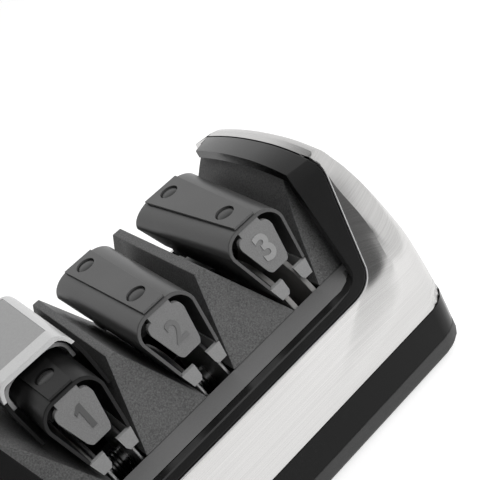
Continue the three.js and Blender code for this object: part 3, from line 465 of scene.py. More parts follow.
def skirtRing(height, inset):
    _, front, radiusShare, sideShare, creaseShare, dishShare, creaseFront = levelAt(height)
    z = mix(skirtFootZ, crestZ, height)
    y = frontY + front * slope["crestSetback"] + inset
    half = halfWidth * (1 - sideShare) - inset
    radius = skirt["corner"] * radiusShare
    back = backY - halfWidth * sideShare * skirt["rearShare"] - inset
    footZ = crestZ - slope["footDrop"]
    if z >= footZ:
        dish = slopeFootY + (z - footZ) * (crestFrontY - slopeFootY) / slope["footDrop"]
    else:
        dish = frontY + slope["footSetback"] * (z - skirtFootZ) / (footZ - skirtFootZ)
    dish = max(dish + inset, y)
    crease = min(halfWidth * creaseShare, half - radius - 0.3)
    hollow = min(halfWidth * dishShare, crease - 0.3)
    creaseY = frontY + creaseFront * slope["crestSetback"] + inset
    pull, bulge = radius * skirt["arcPull"], between(height, skirt["bulgeFrom"], skirt["bulgeTo"])
    reach = half - crease
    turn = min(skirt["bulgeTurn"], skirt["bulgeShare"] * (y + radius - creaseY) / reach)
    arc = [(half, y + radius), (half, y + pull), (half - radius + pull, y), (half - radius, y)]
    hold = skirt["bulgeHold"]
    full = [(half, y + radius), (half, mix(y + radius, creaseY + turn * reach, hold)),
            (crease + hold * reach, creaseY + turn * hold * reach), (crease, creaseY)]
    bend = [tuple(mix(p, q, bulge) for p, q in zip(a, b)) for a, b in zip(arc, full)]
    front = evenly([cubic(bend, i / 24) for i in range(25)] + [(crease, creaseY)], skirt["frontSteps"])
    steps = skirt["scoopSteps"]
    front += [(mix(crease, hollow, i / steps), mix(creaseY, dish, 1 - (1 - i / steps) ** skirt["scoopPower"]))
              for i in range(1, steps + 1)]
    turns = [math.pi / 2 * i / skirt["cornerSteps"] for i in range(skirt["cornerSteps"] + 1)]
    rear = [(half - radius + radius * math.cos(turn), back - radius + radius * math.sin(turn)) for turn in turns]
    side = [(half, mix(front[0][1], back - radius, i / skirt["sideSteps"])) for i in range(1, skirt["sideSteps"])]
    right = list(reversed(front)) + side + rear
    left = [(-px, py) for px, py in reversed(right)]
    return [(px, py, z) for px, py in right + left]


def slopePrism(outline, out, into):
    return prism([onSlope(x, down, out) for x, down in outline], -slopeOut * (out + into))


# An outline of the slope that grows from level to level, so that its edges come out round
def slopeLoft(outlineAt, levels):
    return lofted([[onSlope(x, down, out) for x, down in outlineAt(grow)] for out, grow in levels])


# Levels of a quarter round that ends on the face: how far out, and how far the outline shrinks
def roundLevels(radius, steps=4):
    turns = [math.pi / 2 * i / steps for i in range(steps + 1)]
    return [(-radius * (1 - math.sin(turn)), radius * (1 - math.cos(turn))) for turn in turns]


def mirrored(side):
    return side + [(-x, down) for x, down in reversed(side)]


bezel = dict(depth=5.0, backInner=61.0, backOuter=71.2, rounding=0.9, innerRounding=0.4, topHalf=106.0, innerTopHalf=91.0,
             shoulder=[(106.0, -0.5), (106.9, 3.0), (107.3, 5.7), (106.95, 8.8), (106.0, 12.3)],
             armFoot=(85.9, 57.6), footCorner=(81.2, 65.1), footRun=(69.5, 65.1),
             innerArmFoot=(81.0, 50.5), innerCorner=(79.3, 59.3), innerRun=(70.0, 59.3),
             wallSetback=4.2, wallThick=2.2,
             highlightNear=0.35, highlightFar=1.1, highlightRise=0.5)


# The outer outline of the sloping face, from the crest down and across, grown outward where asked
def bezelOutline(grow, above):
    side = [(x + grow, down) for x, down in bezel["shoulder"]]
    side += curved((bezel["armFoot"][0] + grow, bezel["armFoot"][1]),
                   (bezel["footCorner"][0] + grow, bezel["footCorner"][1] + grow),
                   (bezel["footRun"][0], bezel["footRun"][1] + grow))
    return mirrored([(bezel["topHalf"] + grow, -above)] + side[1:])


def openingOutline(grow, above):
    side = [(bezel["innerTopHalf"] + grow, -above)]
    side += [(bezel["innerTopHalf"] + grow, 0)] if above else []
    side += curved((bezel["innerArmFoot"][0] + grow, bezel["innerArmFoot"][1]),
                   (bezel["innerCorner"][0] + grow, bezel["innerCorner"][1] + grow),
                   (bezel["innerRun"][0], bezel["innerRun"][1] + grow))
    return mirrored(side)


def towerOutline(grow):
    outer, back = bezel["topHalf"] + grow, bezel["backInner"] + grow
    return [(-outer, crestFrontY), (outer, crestFrontY), (outer, bezel["backOuter"] + grow),
            (bezel["innerTopHalf"], back), (-bezel["innerTopHalf"], back), (-outer, bezel["backOuter"] + grow)]


def bezelWell(grow, depth, top):
    tower = prism([(x, y, crestZ - depth) for x, y in towerOutline(grow)], (0, 0, depth + top))
    return carve(slopePrism(bezelOutline(grow, bezel["depth"]), top, depth), tower, "UNION")


def openingWell(grow, out):
    half = bezel["innerTopHalf"] + grow
    return carve(slopePrism(openingOutline(grow, bezel["depth"]), out, 2 * slope["crestSetback"]),
                 blockOf(-half, half, crestFrontY, 2 * backY, 0, crestZ + out), "UNION")


def makeSkirt():
    steps = skirt["heightSteps"]
    heights = [math.sin(math.pi / 2 * i / steps) ** 0.85 for i in range(steps + 1)]
    shell = lofted([skirtRing(height, 0) for height in heights])
    inner = [skirtRing(height, skirt["wall"]) for height in heights]
    shell = carve(shell, lofted([[(x, y, z - skirt["wall"]) for x, y, z in ring] for ring in inner]))
    shell = carve(shell, bezelWell(skirt["gap"], skirt["wellDepth"], 30))
    half = bezel["innerTopHalf"] + bezel["wallSetback"] + bezel["wallThick"] + skirt["gap"]
    roofFront = crestFrontY - skirt["roofSetback"]
    shell = carve(shell, blockOf(-half, half, roofFront, 2 * backY, boxOf("deck_plate")[1].z, 2 * crestZ))
    lever = midOf("dresser_lever")
    slot = skirt["leverSlotHalf"]
    rise = skirt["leverSlotRise"]
    shell = carve(shell, blockOf(lever.x - slot, lever.x + slot, backY - 20, backY + 20, lever.z - rise, lever.z + rise))
    piece = makePiece("steel_skirt", bowCrest(shell), "body", skirtSteel, ["metal_skirt"], soft=28)
    for edge in piece.data.edges:
        ends = [piece.data.vertices[i].co / mm for i in edge.vertices]
        if all(abs(p.x) > bezel["topHalf"] + 0.9 and p.y < skirt["softBackY"] and p.z > crestZ - 5 for p in ends):
            edge.use_edge_sharp = False


def makeBezel():
    levels = [(-bezel["depth"], 0)] + [(out, -shrink) for out, shrink in roundLevels(bezel["rounding"])]
    tower = lofted([[(x, y, crestZ + out) for x, y in towerOutline(grow)] for out, grow in levels])
    body = carve(slopeLoft(lambda grow: bezelOutline(grow, 0), levels), tower, "UNION")
    flare = [(-2 * slope["crestSetback"], 0)] + roundLevels(bezel["innerRounding"])
    flare.append((40, flare[-1][1]))
    half = bezel["innerTopHalf"]
    gap = carve(slopeLoft(lambda grow: openingOutline(grow, bezel["depth"]), flare),
                blockOf(-half, half, crestFrontY, 2 * backY, 0, 2 * crestZ), "UNION")
    body = carve(body, gap)
    makePiece("bezel_ring", bowCrest(body), "body", bezelBlack, ["bezel"], soft=22)
    # Painted highlight: a thin silver strip along the bezel's outer edge stands for the light caught on that edge
    near, far, rise = bezel["highlightNear"], bezel["highlightFar"], bezel["highlightRise"]
    rim = slopeLoft(lambda grow: bezelOutline(grow, 0), [(-2.0, far), (rise * 0.4, far), (rise, far - 0.2)])
    rim = carve(rim, slopePrism(bezelOutline(near, 4.0), 5, 5))
    rim = carve(rim, blockOf(-bezel["topHalf"], bezel["topHalf"], crestFrontY - 2, backY, 0, 2 * crestZ))
    makePiece("bezel_edge_painted_highlight", bowCrest(rim), "body", linerSilverAndHighlight, soft=22)
    setback, thick = bezel["wallSetback"], bezel["wallThick"]
    deckZ = boxOf("deck_plate")[1].z
    wall = slopePrism(openingOutline(setback + thick, 0), -bezel["depth"] - 0.1, 90)
    half = bezel["innerTopHalf"] + setback + thick
    wall = carve(wall, blockOf(-half, half, crestFrontY - 0.01, bezel["backInner"], 0, crestZ - bezel["depth"] - 0.1), "UNION")
    wall = carve(wall, openingWell(setback, 40))
    wall = carve(wall, blockOf(-200, 200, -200, 200, -50, deckZ + 0.3))
    makePiece("bezel_under_wall", bowCrest(wall), "body", bezelBlack, soft=25)


skirtFootZ = boxOf("metal_skirt")[0].z
makeSkirt()
makeBezel()
print("casing made")

# Deck and wedge blocks
blocks = dict(rounding=0.45, deckRounding=0.35, underDrop=4.2,
              ledgeEnd=[(87.6, -41.5), (86.0, -44.5), (82.4, -49.6), (76.5, -54.0), (70.4, -56.3), (62.0, -56.9)],
              grooveShadeEnd=[(91.0, -41.5), (89.4, -46.5), (86.0, -52.6), (79.4, -57.9), (71.6, -60.3), (62.0, -60.8)],
              # side guide of the end blocks: out from its foot, and height
              endGuide=[(0, 0), (3.6, 5.8), (6.4, 10.5), (9.2, 15.3), (12.1, 19.9), (15.3, 24.9), (18.9, 29.9),
                        (22.6, 34.5), (25.4, 37.9), (26.6, 39.9)],
              endOuter=[39.9, 29.9, 15.3, 0], apexY=-14.5, apexRise=35.4, endBack=66.0, endOuterFoot=86.8,
              endOuterLean=0.2166)


def makeEndBlock(name, sign):
    low, high = boxOf("wedge_block_" + name)
    foot = low.x if sign > 0 else -high.x
    footZ = low.z
    lean = (blocks["apexY"] - low.y) / blocks["apexRise"]
    outer = [(blocks["endOuterFoot"] + blocks["endOuterLean"] * rise, rise) for rise in blocks["endOuter"]]
    section = [(foot + out, rise) for out, rise in blocks["endGuide"] if foot + out < outer[0][0]] + outer
    near = [(sign * x, low.y + lean * rise, footZ + rise) for x, rise in section]
    far = [(sign * x, blocks["endBack"], footZ + rise) for x, rise in section]
    rings = [[tuple(mix(a, b, t) for a, b in zip(p, q)) for p, q in zip(near, far)] for t in (0, 0.5, 1)]
    block = lofted(rings)
    roundEdges(block, blocks["rounding"], 40)
    makePiece("guide_end_" + name, bowCrest(block, 8.0), "body", wedgeGrey, ["wedge_block_" + name], soft=24)


def makeDeck():
    low, high = boxOf("deck_plate")
    side = blocks["ledgeEnd"]
    plan = [(x, y, low.z) for x, y in side] + [(-x, y, low.z) for x, y in reversed(side)]
    plan += [(-91.0, -20.0, low.z), (-91.0, 60.0, low.z), (91.0, 60.0, low.z), (91.0, -20.0, low.z)]
    cover = prism(plan, (0, 0, 20))
    deck = carve(copyOf("deck_plate"), cover, "INTERSECT")
    # Painted shade: a black strip at ledge height fills the groove between the ledge and the bezel, standing for the
    # groove's shadow
    shadeStrip = prism([(sign * x, y, low.z) for sign, line in ((1, blocks["grooveShadeEnd"]), (-1, blocks["grooveShadeEnd"][::-1]))
                 for x, y in line], (0, 0, high.z - low.z))
    gone = prism([(sign * x, y, low.z - 1) for sign, line in ((1, side), (-1, side[::-1])) for x, y in line]
                 + [(-60, -30, low.z - 1), (60, -30, low.z - 1)], (0, 0, 20))
    makePiece("groove_painted_shade_strip", carve(shadeStrip, gone), "body", bezelBlack)
    roundEdges(deck, blocks["deckRounding"], 40)
    makePiece("deck_ledge", deck, "body", deckGrey, ["deck_plate"])
    # A plate under the deck closes the view through it; its black is painted shade, so the groove and the gaps around
    # it read dark
    floor = blockOf(-94, 94, -60, 66, low.z - blocks["underDrop"], low.z - blocks["underDrop"] + 1.6)
    for name in stageNames:
        floor = carve(floor, blockOf(stageMids[name] - 13, stageMids[name] + 13, -52, 40, 0, 90))
    makePiece("deck_under_plate_painted_shade", floor, "body", bezelBlack)


for name in ("1_2", "2_3"):
    makePiece("guide_block_" + name, roundEdges(copyOf("wedge_block_" + name), blocks["rounding"], 12), "body", wedgeGrey,
              ["wedge_block_" + name])
makeEndBlock("right", 1)
makeEndBlock("left", -1)
makeDeck()
print("deck made")

# Tray, band, door and feet
base = dict(trayRounding=0.6, bandRounding=0.3, doorRounding=0.35, footRounding=0.5, screwInset=14.0,
            screwRadius=3.2, screwDepth=1.2)
makePiece("tray_shell", roundEdges(copyOf("base_tray"), base["trayRounding"], 60), "body", trayBlack,
          ["base_tray"], soft=35)
makePiece("gloss_band", roundEdges(copyOf("lower_band"), base["bandRounding"], 50), "body", bandBlack,
          ["lower_band"], soft=35)


def makeDoor():
    door = copyOf("clean_out_door")
    low, high = boxOf("clean_out_door")
    for i in range(3):
        x = low.x + 9 + 3.2 * i
        door = carve(door, blockOf(x, x + 1.4, low.y + 8, low.y + 22, low.z - 1, low.z + 0.9))
    makePiece("clean_out_panel", roundEdges(door, base["doorRounding"], 50), "door", trayBlack,
              ["clean_out_door"])


def makeFeet():
    for name in ("front_left", "front_right", "rear_left", "rear_right"):
        low, high = boxOf("foot_" + name)
        mid = (low + high) / 2
        radius = (high.x - low.x) / 2
        edge = base["footRounding"]
        profile = [(0, 0), (radius * 0.62, 0), (radius * 0.66, 0.35), (radius * 0.72, 0.35), (radius * 0.76, 0),
                   (radius - edge, 0), (radius - edge * 0.3, edge * 0.3), (radius, edge), (radius, high.z), (0, high.z)]
        foot = turned(profile, Vector((mid.x, mid.y, 0)), "Z", 48)
        makePiece("rubber_foot_" + name, foot, "body", rubberBlack, ["foot_" + name])


def crossHead(centre, radius, rise, turn=0.4, up=1):
    steps = [(0, rise), (radius * 0.45, rise * 0.94), (radius * 0.8, rise * 0.66), (radius, rise * 0.2), (radius, 0), (0, 0)]
    head = turned([(r, up * z) for r, z in steps], centre, "Z", 32)
    for quarter in (turn, turn + math.pi / 2):
        arm = blockOf(-radius * 0.55, radius * 0.55, -radius * 0.12, radius * 0.12, min(up * rise * 0.35, up * rise * 2),
                      max(up * rise * 0.35, up * rise * 2))
        bmesh.ops.rotate(arm, cent=(0, 0, 0), matrix=Matrix.Rotation(quarter, 3, "Z"), verts=arm.verts)
        bmesh.ops.translate(arm, vec=centre, verts=arm.verts)
        head = carve(head, arm)
    return head


makeDoor()
makeFeet()
for name, sx, sy in (("a", -1, -1), ("b", 1, -1), ("c", -1, 1), ("d", 1, 1)):
    spot = Vector((sx * (halfWidth - 40), sy * (backY - base["screwInset"]), trayLow.z))
    makePiece("tray_screw_" + name, crossHead(spot, base["screwRadius"], base["screwDepth"] * 0.6, up=-1), "body",
              screwSteel)
print("base made")

# Stages: saddle, strip, screws, tongue plate with its digit, rails
stage = dict(
    lean=0.45, hipDrop=10.5, legDrop=30.5, crownDrop=1.5, half=16.2, legHalf=12.4, flatHalf=6.4, wall=1.8,
    legSpreadShare=0.3, loops=10, archSteps=12, rimRounding=0.4, holeRadius=5.1, screwFront=16.0, screwBack=68.0,
    screwRadius=4.9, plugDrop=0.35, plugDome=1.0, stripRounding=1.1, stripBack=3.0, plateSetback=0.5, plateWall=2.2, plateHalf=10.3, plateFootHalf=5.6,
    neckHalf=6.5, neckDrop=6.0, shoulderDrop=10.2, plateDrop=26.4, plateCorner=2.4, digitSize=15.5, digitDrop=15.2,
    digitRise=0.45, threeShare=1.2, oneHalf=6.2, oneStem=1.35, railRounding=0.3)
bridgeFrontY = boxOf("clamp_strip_1")[0].y


def leanY(z):
    return bridgeFrontY - stage["lean"] * (crestZ - z)


def archPath(half, crown, hip, legHalf, legZ, inset):
    flat = stage["flatHalf"]
    points = [(legHalf - inset, legZ)]
    for i in range(stage["archSteps"] + 1):
        turn = math.pi / 2 * i / stage["archSteps"]
        points.append((flat + (half - inset - flat) * math.cos(turn), hip + (crown - inset - hip) * math.sin(turn)))
    return points + [(-x, z) for x, z in reversed(points)]


def archSolid(x, frontAt, back, widthAt, crown, hip, legZ, wall):
    rings = []
    for i in range(stage["loops"] + 1):
        t = i / stage["loops"]
        ring = []
        outerFirst = archPath(*widthAt(0)[:1], crown, hip, widthAt(0)[1], legZ, 0)
        for k, (_, z) in enumerate(outerFirst):
            y = mix(frontAt(z), back, t)
            half, legHalf = widthAt(y)
            px, pz = archPath(half, crown, hip, legHalf, legZ, 0)[k]
            ring.append((x + px, y, pz))
        for k in reversed(range(len(outerFirst))):
            z = archPath(widthAt(0)[0], crown, hip, widthAt(0)[1], legZ, wall)[k][1]
            y = mix(frontAt(z), back, t)
            half, legHalf = widthAt(y)
            px, pz = archPath(half, crown, hip, legHalf, legZ, wall)[k]
            ring.append((x + px, y, pz))
        rings.append(ring)
    return lofted(rings)


def roundPlug(centre, radius, rise):
    steps = 8
    dome = [(radius * math.sin(math.pi / 2 * i / steps), rise - stage["plugDome"] * (1 - math.cos(math.pi / 2 * i / steps)))
            for i in range(steps + 1)]
    return turned(dome + [(radius, 0), (0, 0)], centre, "Z", 48)


def makeSaddle(name):
    x = stageMids[name]
    low, high = boxOf("saddle_" + name)
    spread = (high.x - low.x) / 2 - stage["half"]
    # Stage 1 gets the darker grey, which is painted shade for the shadow of the cover
    saddleLook, stripLook = (paintedShadeGrey, paintedShadeGrey) if name == "1" else (saddleGrey, stripGrey)
    frontMost = leanY(crestZ - stage["legDrop"]) - 6

    def widthAt(y):
        t = (y - frontMost) / (high.y - frontMost)
        return stage["half"] + spread * t, stage["legHalf"] + stage["legSpreadShare"] * spread * t

    crown = crestZ - stage["crownDrop"]
    saddle = archSolid(x, leanY, high.y, widthAt, crown, crestZ - stage["hipDrop"], crestZ - stage["legDrop"], stage["wall"])
    roundEdges(saddle, stage["rimRounding"], 50)
    strip = copyOf("clamp_strip_" + name)
    stripEnd = boxOf("clamp_strip_" + name)[1].y
    strip = carve(strip, blockOf(low.x, high.x, stripEnd - stage["stripBack"], 2 * backY, 0, 2 * crestZ))
    for reach in (stage["screwFront"], stage["screwBack"]):
        spot = Vector((x, bridgeFrontY + reach, 0))
        hole = [(0, crown - 6), (stage["holeRadius"], crown - 6), (stage["holeRadius"], crown + 6), (0, crown + 6)]
        saddle = carve(saddle, turned(hole, spot, "Z", 48))
        strip = carve(strip, turned(hole, spot, "Z", 48))
        seat = boxOf("stage_frame_" + name)[1].z
        makePiece("strip_screw_%s_%s" % (name, "front" if reach == stage["screwFront"] else "back"),
                  roundPlug(spot + Vector((0, 0, seat)), stage["screwRadius"], crestZ - seat - stage["plugDrop"]), "body",
                  plugDark)
    makePiece("sprung_saddle_" + name, saddle, "body", saddleLook, ["saddle_" + name], soft=38)
    roundEdges(strip, stage["stripRounding"], 40, 4)
    makePiece("raised_strip_" + name, strip, "body", stripLook, ["clamp_strip_" + name], soft=38)


def curveThrough(start, bend, end, steps=8):
    return [tuple((1 - t) ** 2 * a + 2 * t * (1 - t) * b + t * t * c for a, b, c in zip(start, bend, end))
            for t in (i / steps for i in range(steps + 1))]


def plateSide():
    neckZ = crestZ - stage["neckDrop"]
    shoulderZ = crestZ - stage["shoulderDrop"]
    footZ = crestZ - stage["plateDrop"]
    corner = stage["plateCorner"]
    foot = stage["plateFootHalf"]
    top = crestZ - stage["crownDrop"] - stage["wall"] + 0.4
    side = [(stage["neckHalf"], top), (stage["neckHalf"], neckZ + 0.5)]
    side += curveThrough((stage["neckHalf"], neckZ), (stage["plateHalf"], neckZ), (stage["plateHalf"], shoulderZ))
    side += curveThrough((foot + corner / 2, footZ + corner), (foot, footZ), (foot - corner / 2, footZ))
    return side


def makePlate(name):
    x = stageMids[name]
    side = plateSide()
    outline = side + [(-px, z) for px, z in reversed(side)]
    setback = stage["plateSetback"]
    tongue = prism([(x + px, leanY(z) + setback, z) for px, z in outline], (0, stage["plateWall"], 0))
    roundEdges(tongue, 0.35, 40)
    makePiece("tongue_plate_" + name, tongue, "body", plateGrey, ["stage_frame_" + name], soft=38)
    frameBody = copyOf("stage_frame_" + name)
    cutter = prism([(x - 30, leanY(crestZ) + 3.4, crestZ + 2), (x - 30, leanY(40) + 3.4, 40), (x - 30, -80, 40),
                    (x - 30, -80, crestZ + 2)], (60, 0, 0))
    frameBody = carve(frameBody, cutter)
    makePiece("stage_beam_" + name, frameBody, "body", plateGrey, ["stage_frame_" + name])
    for side in ("left", "right"):
        node = "blade_rail_%s_%s" % (name, side)
        makePiece("rail_%s_%s" % (name, side), roundEdges(copyOf(node), stage["railRounding"], 40), "body",
                  railGrey, [node])


# A plain one with a slanted flag, which the font's own lacks
def flaggedOne():
    tall, stem = stage["oneHalf"], stage["oneStem"]
    outline = [(stem, tall), (stem, -tall), (-stem, -tall), (-stem, tall * 0.52), (-stem - 2.1, tall * 0.3),
               (-stem - 2.1, tall * 0.62), (-stem * 0.2, tall)]
    return prism([(px, py, -stage["digitRise"]) for px, py in reversed(outline)], (0, 0, 2 * stage["digitRise"]))


def fontDigit(name):
    words = bpy.data.curves.new("digit_" + name, "FONT")
    words.body = name
    words.size = stage["digitSize"] * (stage["threeShare"] if name == "3" else 1)
    words.align_x = "CENTER"
    words.align_y = "CENTER"
    words.extrude = stage["digitRise"]
    words.offset = 0.5 if name == "3" else 0.3
    words.resolution_u = 6
    holder = bpy.data.objects.new("digit_" + name, words)
    bpy.context.scene.collection.objects.link(holder)
    bpy.context.view_layer.update()
    shape = bpy.data.meshes.new_from_object(holder.evaluated_get(bpy.context.evaluated_depsgraph_get()))
    bpy.data.objects.remove(holder)
    bm = bmesh.new()
    bm.from_mesh(shape)
    bpy.data.meshes.remove(shape)
    return bm


def makeDigit(name):
    bm = flaggedOne() if name == "1" else fontDigit(name)
    low = Vector((min(v.co.x for v in bm.verts), min(v.co.y for v in bm.verts), 0))
    high = Vector((max(v.co.x for v in bm.verts), max(v.co.y for v in bm.verts), 0))
    bmesh.ops.translate(bm, vec=-(low + high) / 2, verts=bm.verts)
    z = crestZ - stage["digitDrop"]
    upPlate = Vector((0, stage["lean"], 1)).normalized()
    outPlate = Vector((0, -1, stage["lean"])).normalized()
    turn = Matrix((Vector((1, 0, 0)), upPlate, outPlate)).transposed().to_4x4()
    turn.translation = Vector((stageMids[name], leanY(z) + stage["plateSetback"], z))
    bmesh.ops.transform(bm, matrix=turn, verts=bm.verts)
    makePiece("stage_digit_" + name, bm, "body", digitLitAndShaded[name], soft=25)


for name in stageNames:
    makeSaddle(name)
    makePlate(name)
    makeDigit(name)
print("stages made")

# Lift-off cover of stage 1
cover = dict(capDrop=6.5, rake=20.0, shoulder=14.0, hipDrop=12.4, wall=2.0, taper=0.9, cornerSteps=8, loops=6, rounding=0.4,
             panelMargin=2.2, panelFront=9.0, panelSink=0.6, panelWall=0.35,
             panelGap=0.4)


def coverPath(half, top, bottom, inset):
    hipZ = top - cover["hipDrop"]
    points = [(half - cover["taper"] - inset, bottom)]
    for i in range(cover["cornerSteps"] + 1):
        turn = math.pi / 2 * i / cover["cornerSteps"]
        reach = half - inset - cover["shoulder"]
        points.append((cover["shoulder"] + reach * math.cos(turn), hipZ + (top - inset - hipZ) * math.sin(turn) ** 0.8))
    return points + [(-x, z) for x, z in reversed(points)]


def makeCover():
    x = stageMids["1"]
    low, high = boxOf("stage_cover")
    half = (high.x - low.x) / 2
    front = low.y + cover["rake"]

    def frontAt(z):
        return front - cover["rake"] * (high.z - z) / (high.z - low.z)

    rings = []
    outer = coverPath(half, high.z, low.z, 0)
    inner = coverPath(half, high.z, low.z, cover["wall"])
    for i in range(cover["loops"] + 1):
        t = i / cover["loops"]
        rings.append([(x + px, mix(frontAt(z), high.y, t), z) for px, z in outer]
                     + [(x + px, mix(frontAt(z), high.y, t), z) for px, z in reversed(inner)])
    shell = lofted(rings)
    roundEdges(shell, cover["rounding"], 50)
    reach = cover["shoulder"] + 1.5
    near, far = front + cover["panelFront"], high.y - cover["panelMargin"]
    shell = carve(shell, blockOf(x - reach, x + reach, near, far, high.z - cover["panelSink"], high.z + 5))
    bmesh.ops.bisect_plane(shell, geom=shell.verts[:] + shell.edges[:] + shell.faces[:], dist=0.001,
                           plane_co=(0, 0, high.z - cover["capDrop"]), plane_no=(0, 0, 1))
    piece = makePiece("cover_shell", shell, "cover", coverSilver, ["stage_cover"], soft=35)
    piece.data.materials.append(coverPaintedShade)
    # Painted shade: faces below the cap and faces turned sideways or down take the near-black finish, and the rest
    # stays silver
    for face in piece.data.polygons:
        shadeFacing = face.normal.z < 0.15 and abs(face.normal.y) < 0.9
        face.material_index = 1 if face.center.z < (high.z - cover["capDrop"]) * mm or shadeFacing else 0
    gap = cover["panelGap"]
    panel = blockOf(x - reach + gap, x + reach - gap, near + gap, far - gap, high.z - cover["panelSink"],
                    high.z - cover["panelSink"] + cover["panelWall"])
    roundEdges(panel, 0.12, 40)
    makePiece("cover_panel", panel, "cover", panelPale)
    makePiece("cover_arch_liner", roundEdges(copyOf("cover_liner"), 0.35, 45), "cover", linerSilverAndHighlight,
              ["cover_liner"], soft=40)


makeCover()
print("cover made")

# Discs, hubs and springs
discs = dict(diamondRadius=33.0, diamondEdge=1.2, bossRadius=10.0, bossWall=2.4, bore=6.3, stropRound=0.8,
             springWire=0.9, springTurns=4)


def makeDisc(name, side):
    strop = name == "3"
    node = "%s_disc_%s_%s" % ("strop" if strop else "diamond", name, side)
    low, high = boxOf(node)
    mid = (low + high) / 2
    radius = (high.z - low.z) / 2
    bore = discs["bore"]
    half = (high.x - low.x) / 2
    if strop:
        edge = discs["stropRound"]
        profile = [(bore, -half), (radius - edge, -half), (radius - edge * 0.3, -half + edge * 0.3), (radius, -half + edge),
                   (radius, half - edge), (radius - edge * 0.3, half - edge * 0.3), (radius - edge, half), (bore, half)]
    else:
        edge = discs["diamondEdge"] / 2
        boss = discs["bossRadius"]
        profile = [(bore, -half), (boss, -half), (boss + 1.5, -edge), (radius * 0.62, -edge), (radius * 0.63, -edge * 1.25),
                   (radius - 0.3, -edge * 1.25), (radius, -edge * 0.6), (radius, edge * 0.6), (radius - 0.3, edge * 1.25),
                   (radius * 0.63, edge * 1.25), (radius * 0.62, edge), (boss + 1.5, edge), (boss, half), (bore, half)]
    disc = turned(profile, mid, "X", 96, closed=True)
    makePiece("%s_wheel_%s_%s" % ("strop" if strop else "diamond", name, side), disc, "disc_%s_%s" % (name, side),
              stropPale if strop else diamondSteel, [node], soft=30)


def makeSpring(name):
    node = "disc_spring_" + name
    low, high = boxOf(node)
    mid = (low + high) / 2
    wire = discs["springWire"]
    radius = (high.z - low.z) / 2 - wire / 2
    turns = discs["springTurns"]
    steps = 28 * turns
    length = high.x - low.x - wire
    bm = bmesh.new()
    made = bmesh.ops.create_circle(bm, segments=8, radius=wire / 2, cap_ends=True)
    bmesh.ops.translate(bm, vec=(low.x + wire / 2, mid.y, mid.z + radius), verts=made["verts"])
    bmesh.ops.rotate(bm, cent=(low.x + wire / 2, mid.y, mid.z + radius), matrix=Matrix.Rotation(math.pi / 2, 3, "X"),
                     verts=made["verts"])
    bmesh.ops.spin(bm, geom=bm.verts[:] + bm.edges[:] + bm.faces[:], cent=mid, axis=(1, 0, 0),
                   dvec=(length / steps, 0, 0), angle=2 * math.pi * turns, steps=steps, use_merge=False,
                   use_normal_flip=False, use_duplicate=False)
    makePiece("coil_spring_" + name, bm, "drive", screwSteel, [node], soft=60)


for name in stageNames:
    for side in ("left", "right"):
        makeDisc(name, side)
    makeSpring(name)
    makePiece("turned_hub_" + name, roundEdges(copyOf("disc_hub_" + name), 0.3, 50), "drive", plainSteel,
              ["disc_hub_" + name], soft=30)
print("discs made")

# Switch, inlet and dresser
small = dict(rimRounding=0.5, rockerRounding=0.5, inletRings=4, leverRounding=0.6)
makePiece("switch_frame", roundEdges(copyOf("switch_rim"), small["rimRounding"], 50), "body", bezelBlack,
          ["switch_rim"])
makePiece("rocker_button", roundEdges(copyOf("switch_rocker"), small["rockerRounding"], 14), "rocker", bandBlack,
          ["switch_rocker"])


def makeInlet():
    low, high = boxOf("cord_inlet")
    mid = (low + high) / 2
    radius = (high.x - low.x) / 2
    length = high.y - low.y
    collar = [(radius * 0.52, 0), (radius * 0.76, 0), (radius * 0.76, length - 1.6), (radius, length - 1.6),
              (radius, length - 0.6), (radius * 0.93, length), (radius * 0.8, length), (radius * 0.58, length - 1.2)]
    inlet = turned(collar, Vector((0, 0, 0)), "Z", 48, closed=True)
    bmesh.ops.rotate(inlet, cent=(0, 0, 0), matrix=Matrix.Rotation(-math.pi / 2, 3, "X"), verts=inlet.verts)
    bmesh.ops.translate(inlet, vec=(mid.x, low.y, mid.z), verts=inlet.verts)
    makePiece("inlet_grommet", inlet, "body", rubberBlack, ["cord_inlet"], soft=30)


makeInlet()
makePiece("dressing_lever", roundEdges(copyOf("dresser_lever"), small["leverRounding"], 50), "dresser", deckGrey,
          ["dresser_lever"])

# Inner parts keep their solids and get their finishes
innerFinish = {
    "drive_shaft": plainSteel, "motor_stator": platedStack, "motor_coil": coilCopper, "motor_rotor": platedStack,
    "motor_bracket_left": plainSteel, "motor_bracket_right": plainSteel, "motor_bush_left": bushBronze,
    "motor_bush_right": bushBronze, "bearing_pillar_left": fanGrey, "bearing_pillar_right": fanGrey,
    "cooling_fan": fanGrey, "dresser_pin": plainSteel}
for name, material in innerFinish.items():
    nodes[name].data.materials.clear()
    nodes[name].data.materials.append(material)
print("inner parts finished")

# Floor, light and camera
studio = dict(floorHalf=1000.0, floorShade=0.6, floorGlow=0.6, ceilingShade=0.15, ambient=0.09, keyPower=20.0, frontPower=9.0)


# Rays that show the backdrop: straight to the camera, or by way of a gloss or a clear piece
def seenRays(tree, rays):
    seen = rays.outputs["Is Camera Ray"]
    for name in ("Is Glossy Ray", "Is Transmission Ray"):
        either = addNode(tree, "ShaderNodeMath", operation="MAXIMUM")
        tree.links.new(seen, either.inputs[0])
        tree.links.new(rays.outputs[name], either.inputs[1])
        seen = either.outputs[0]
    return seen


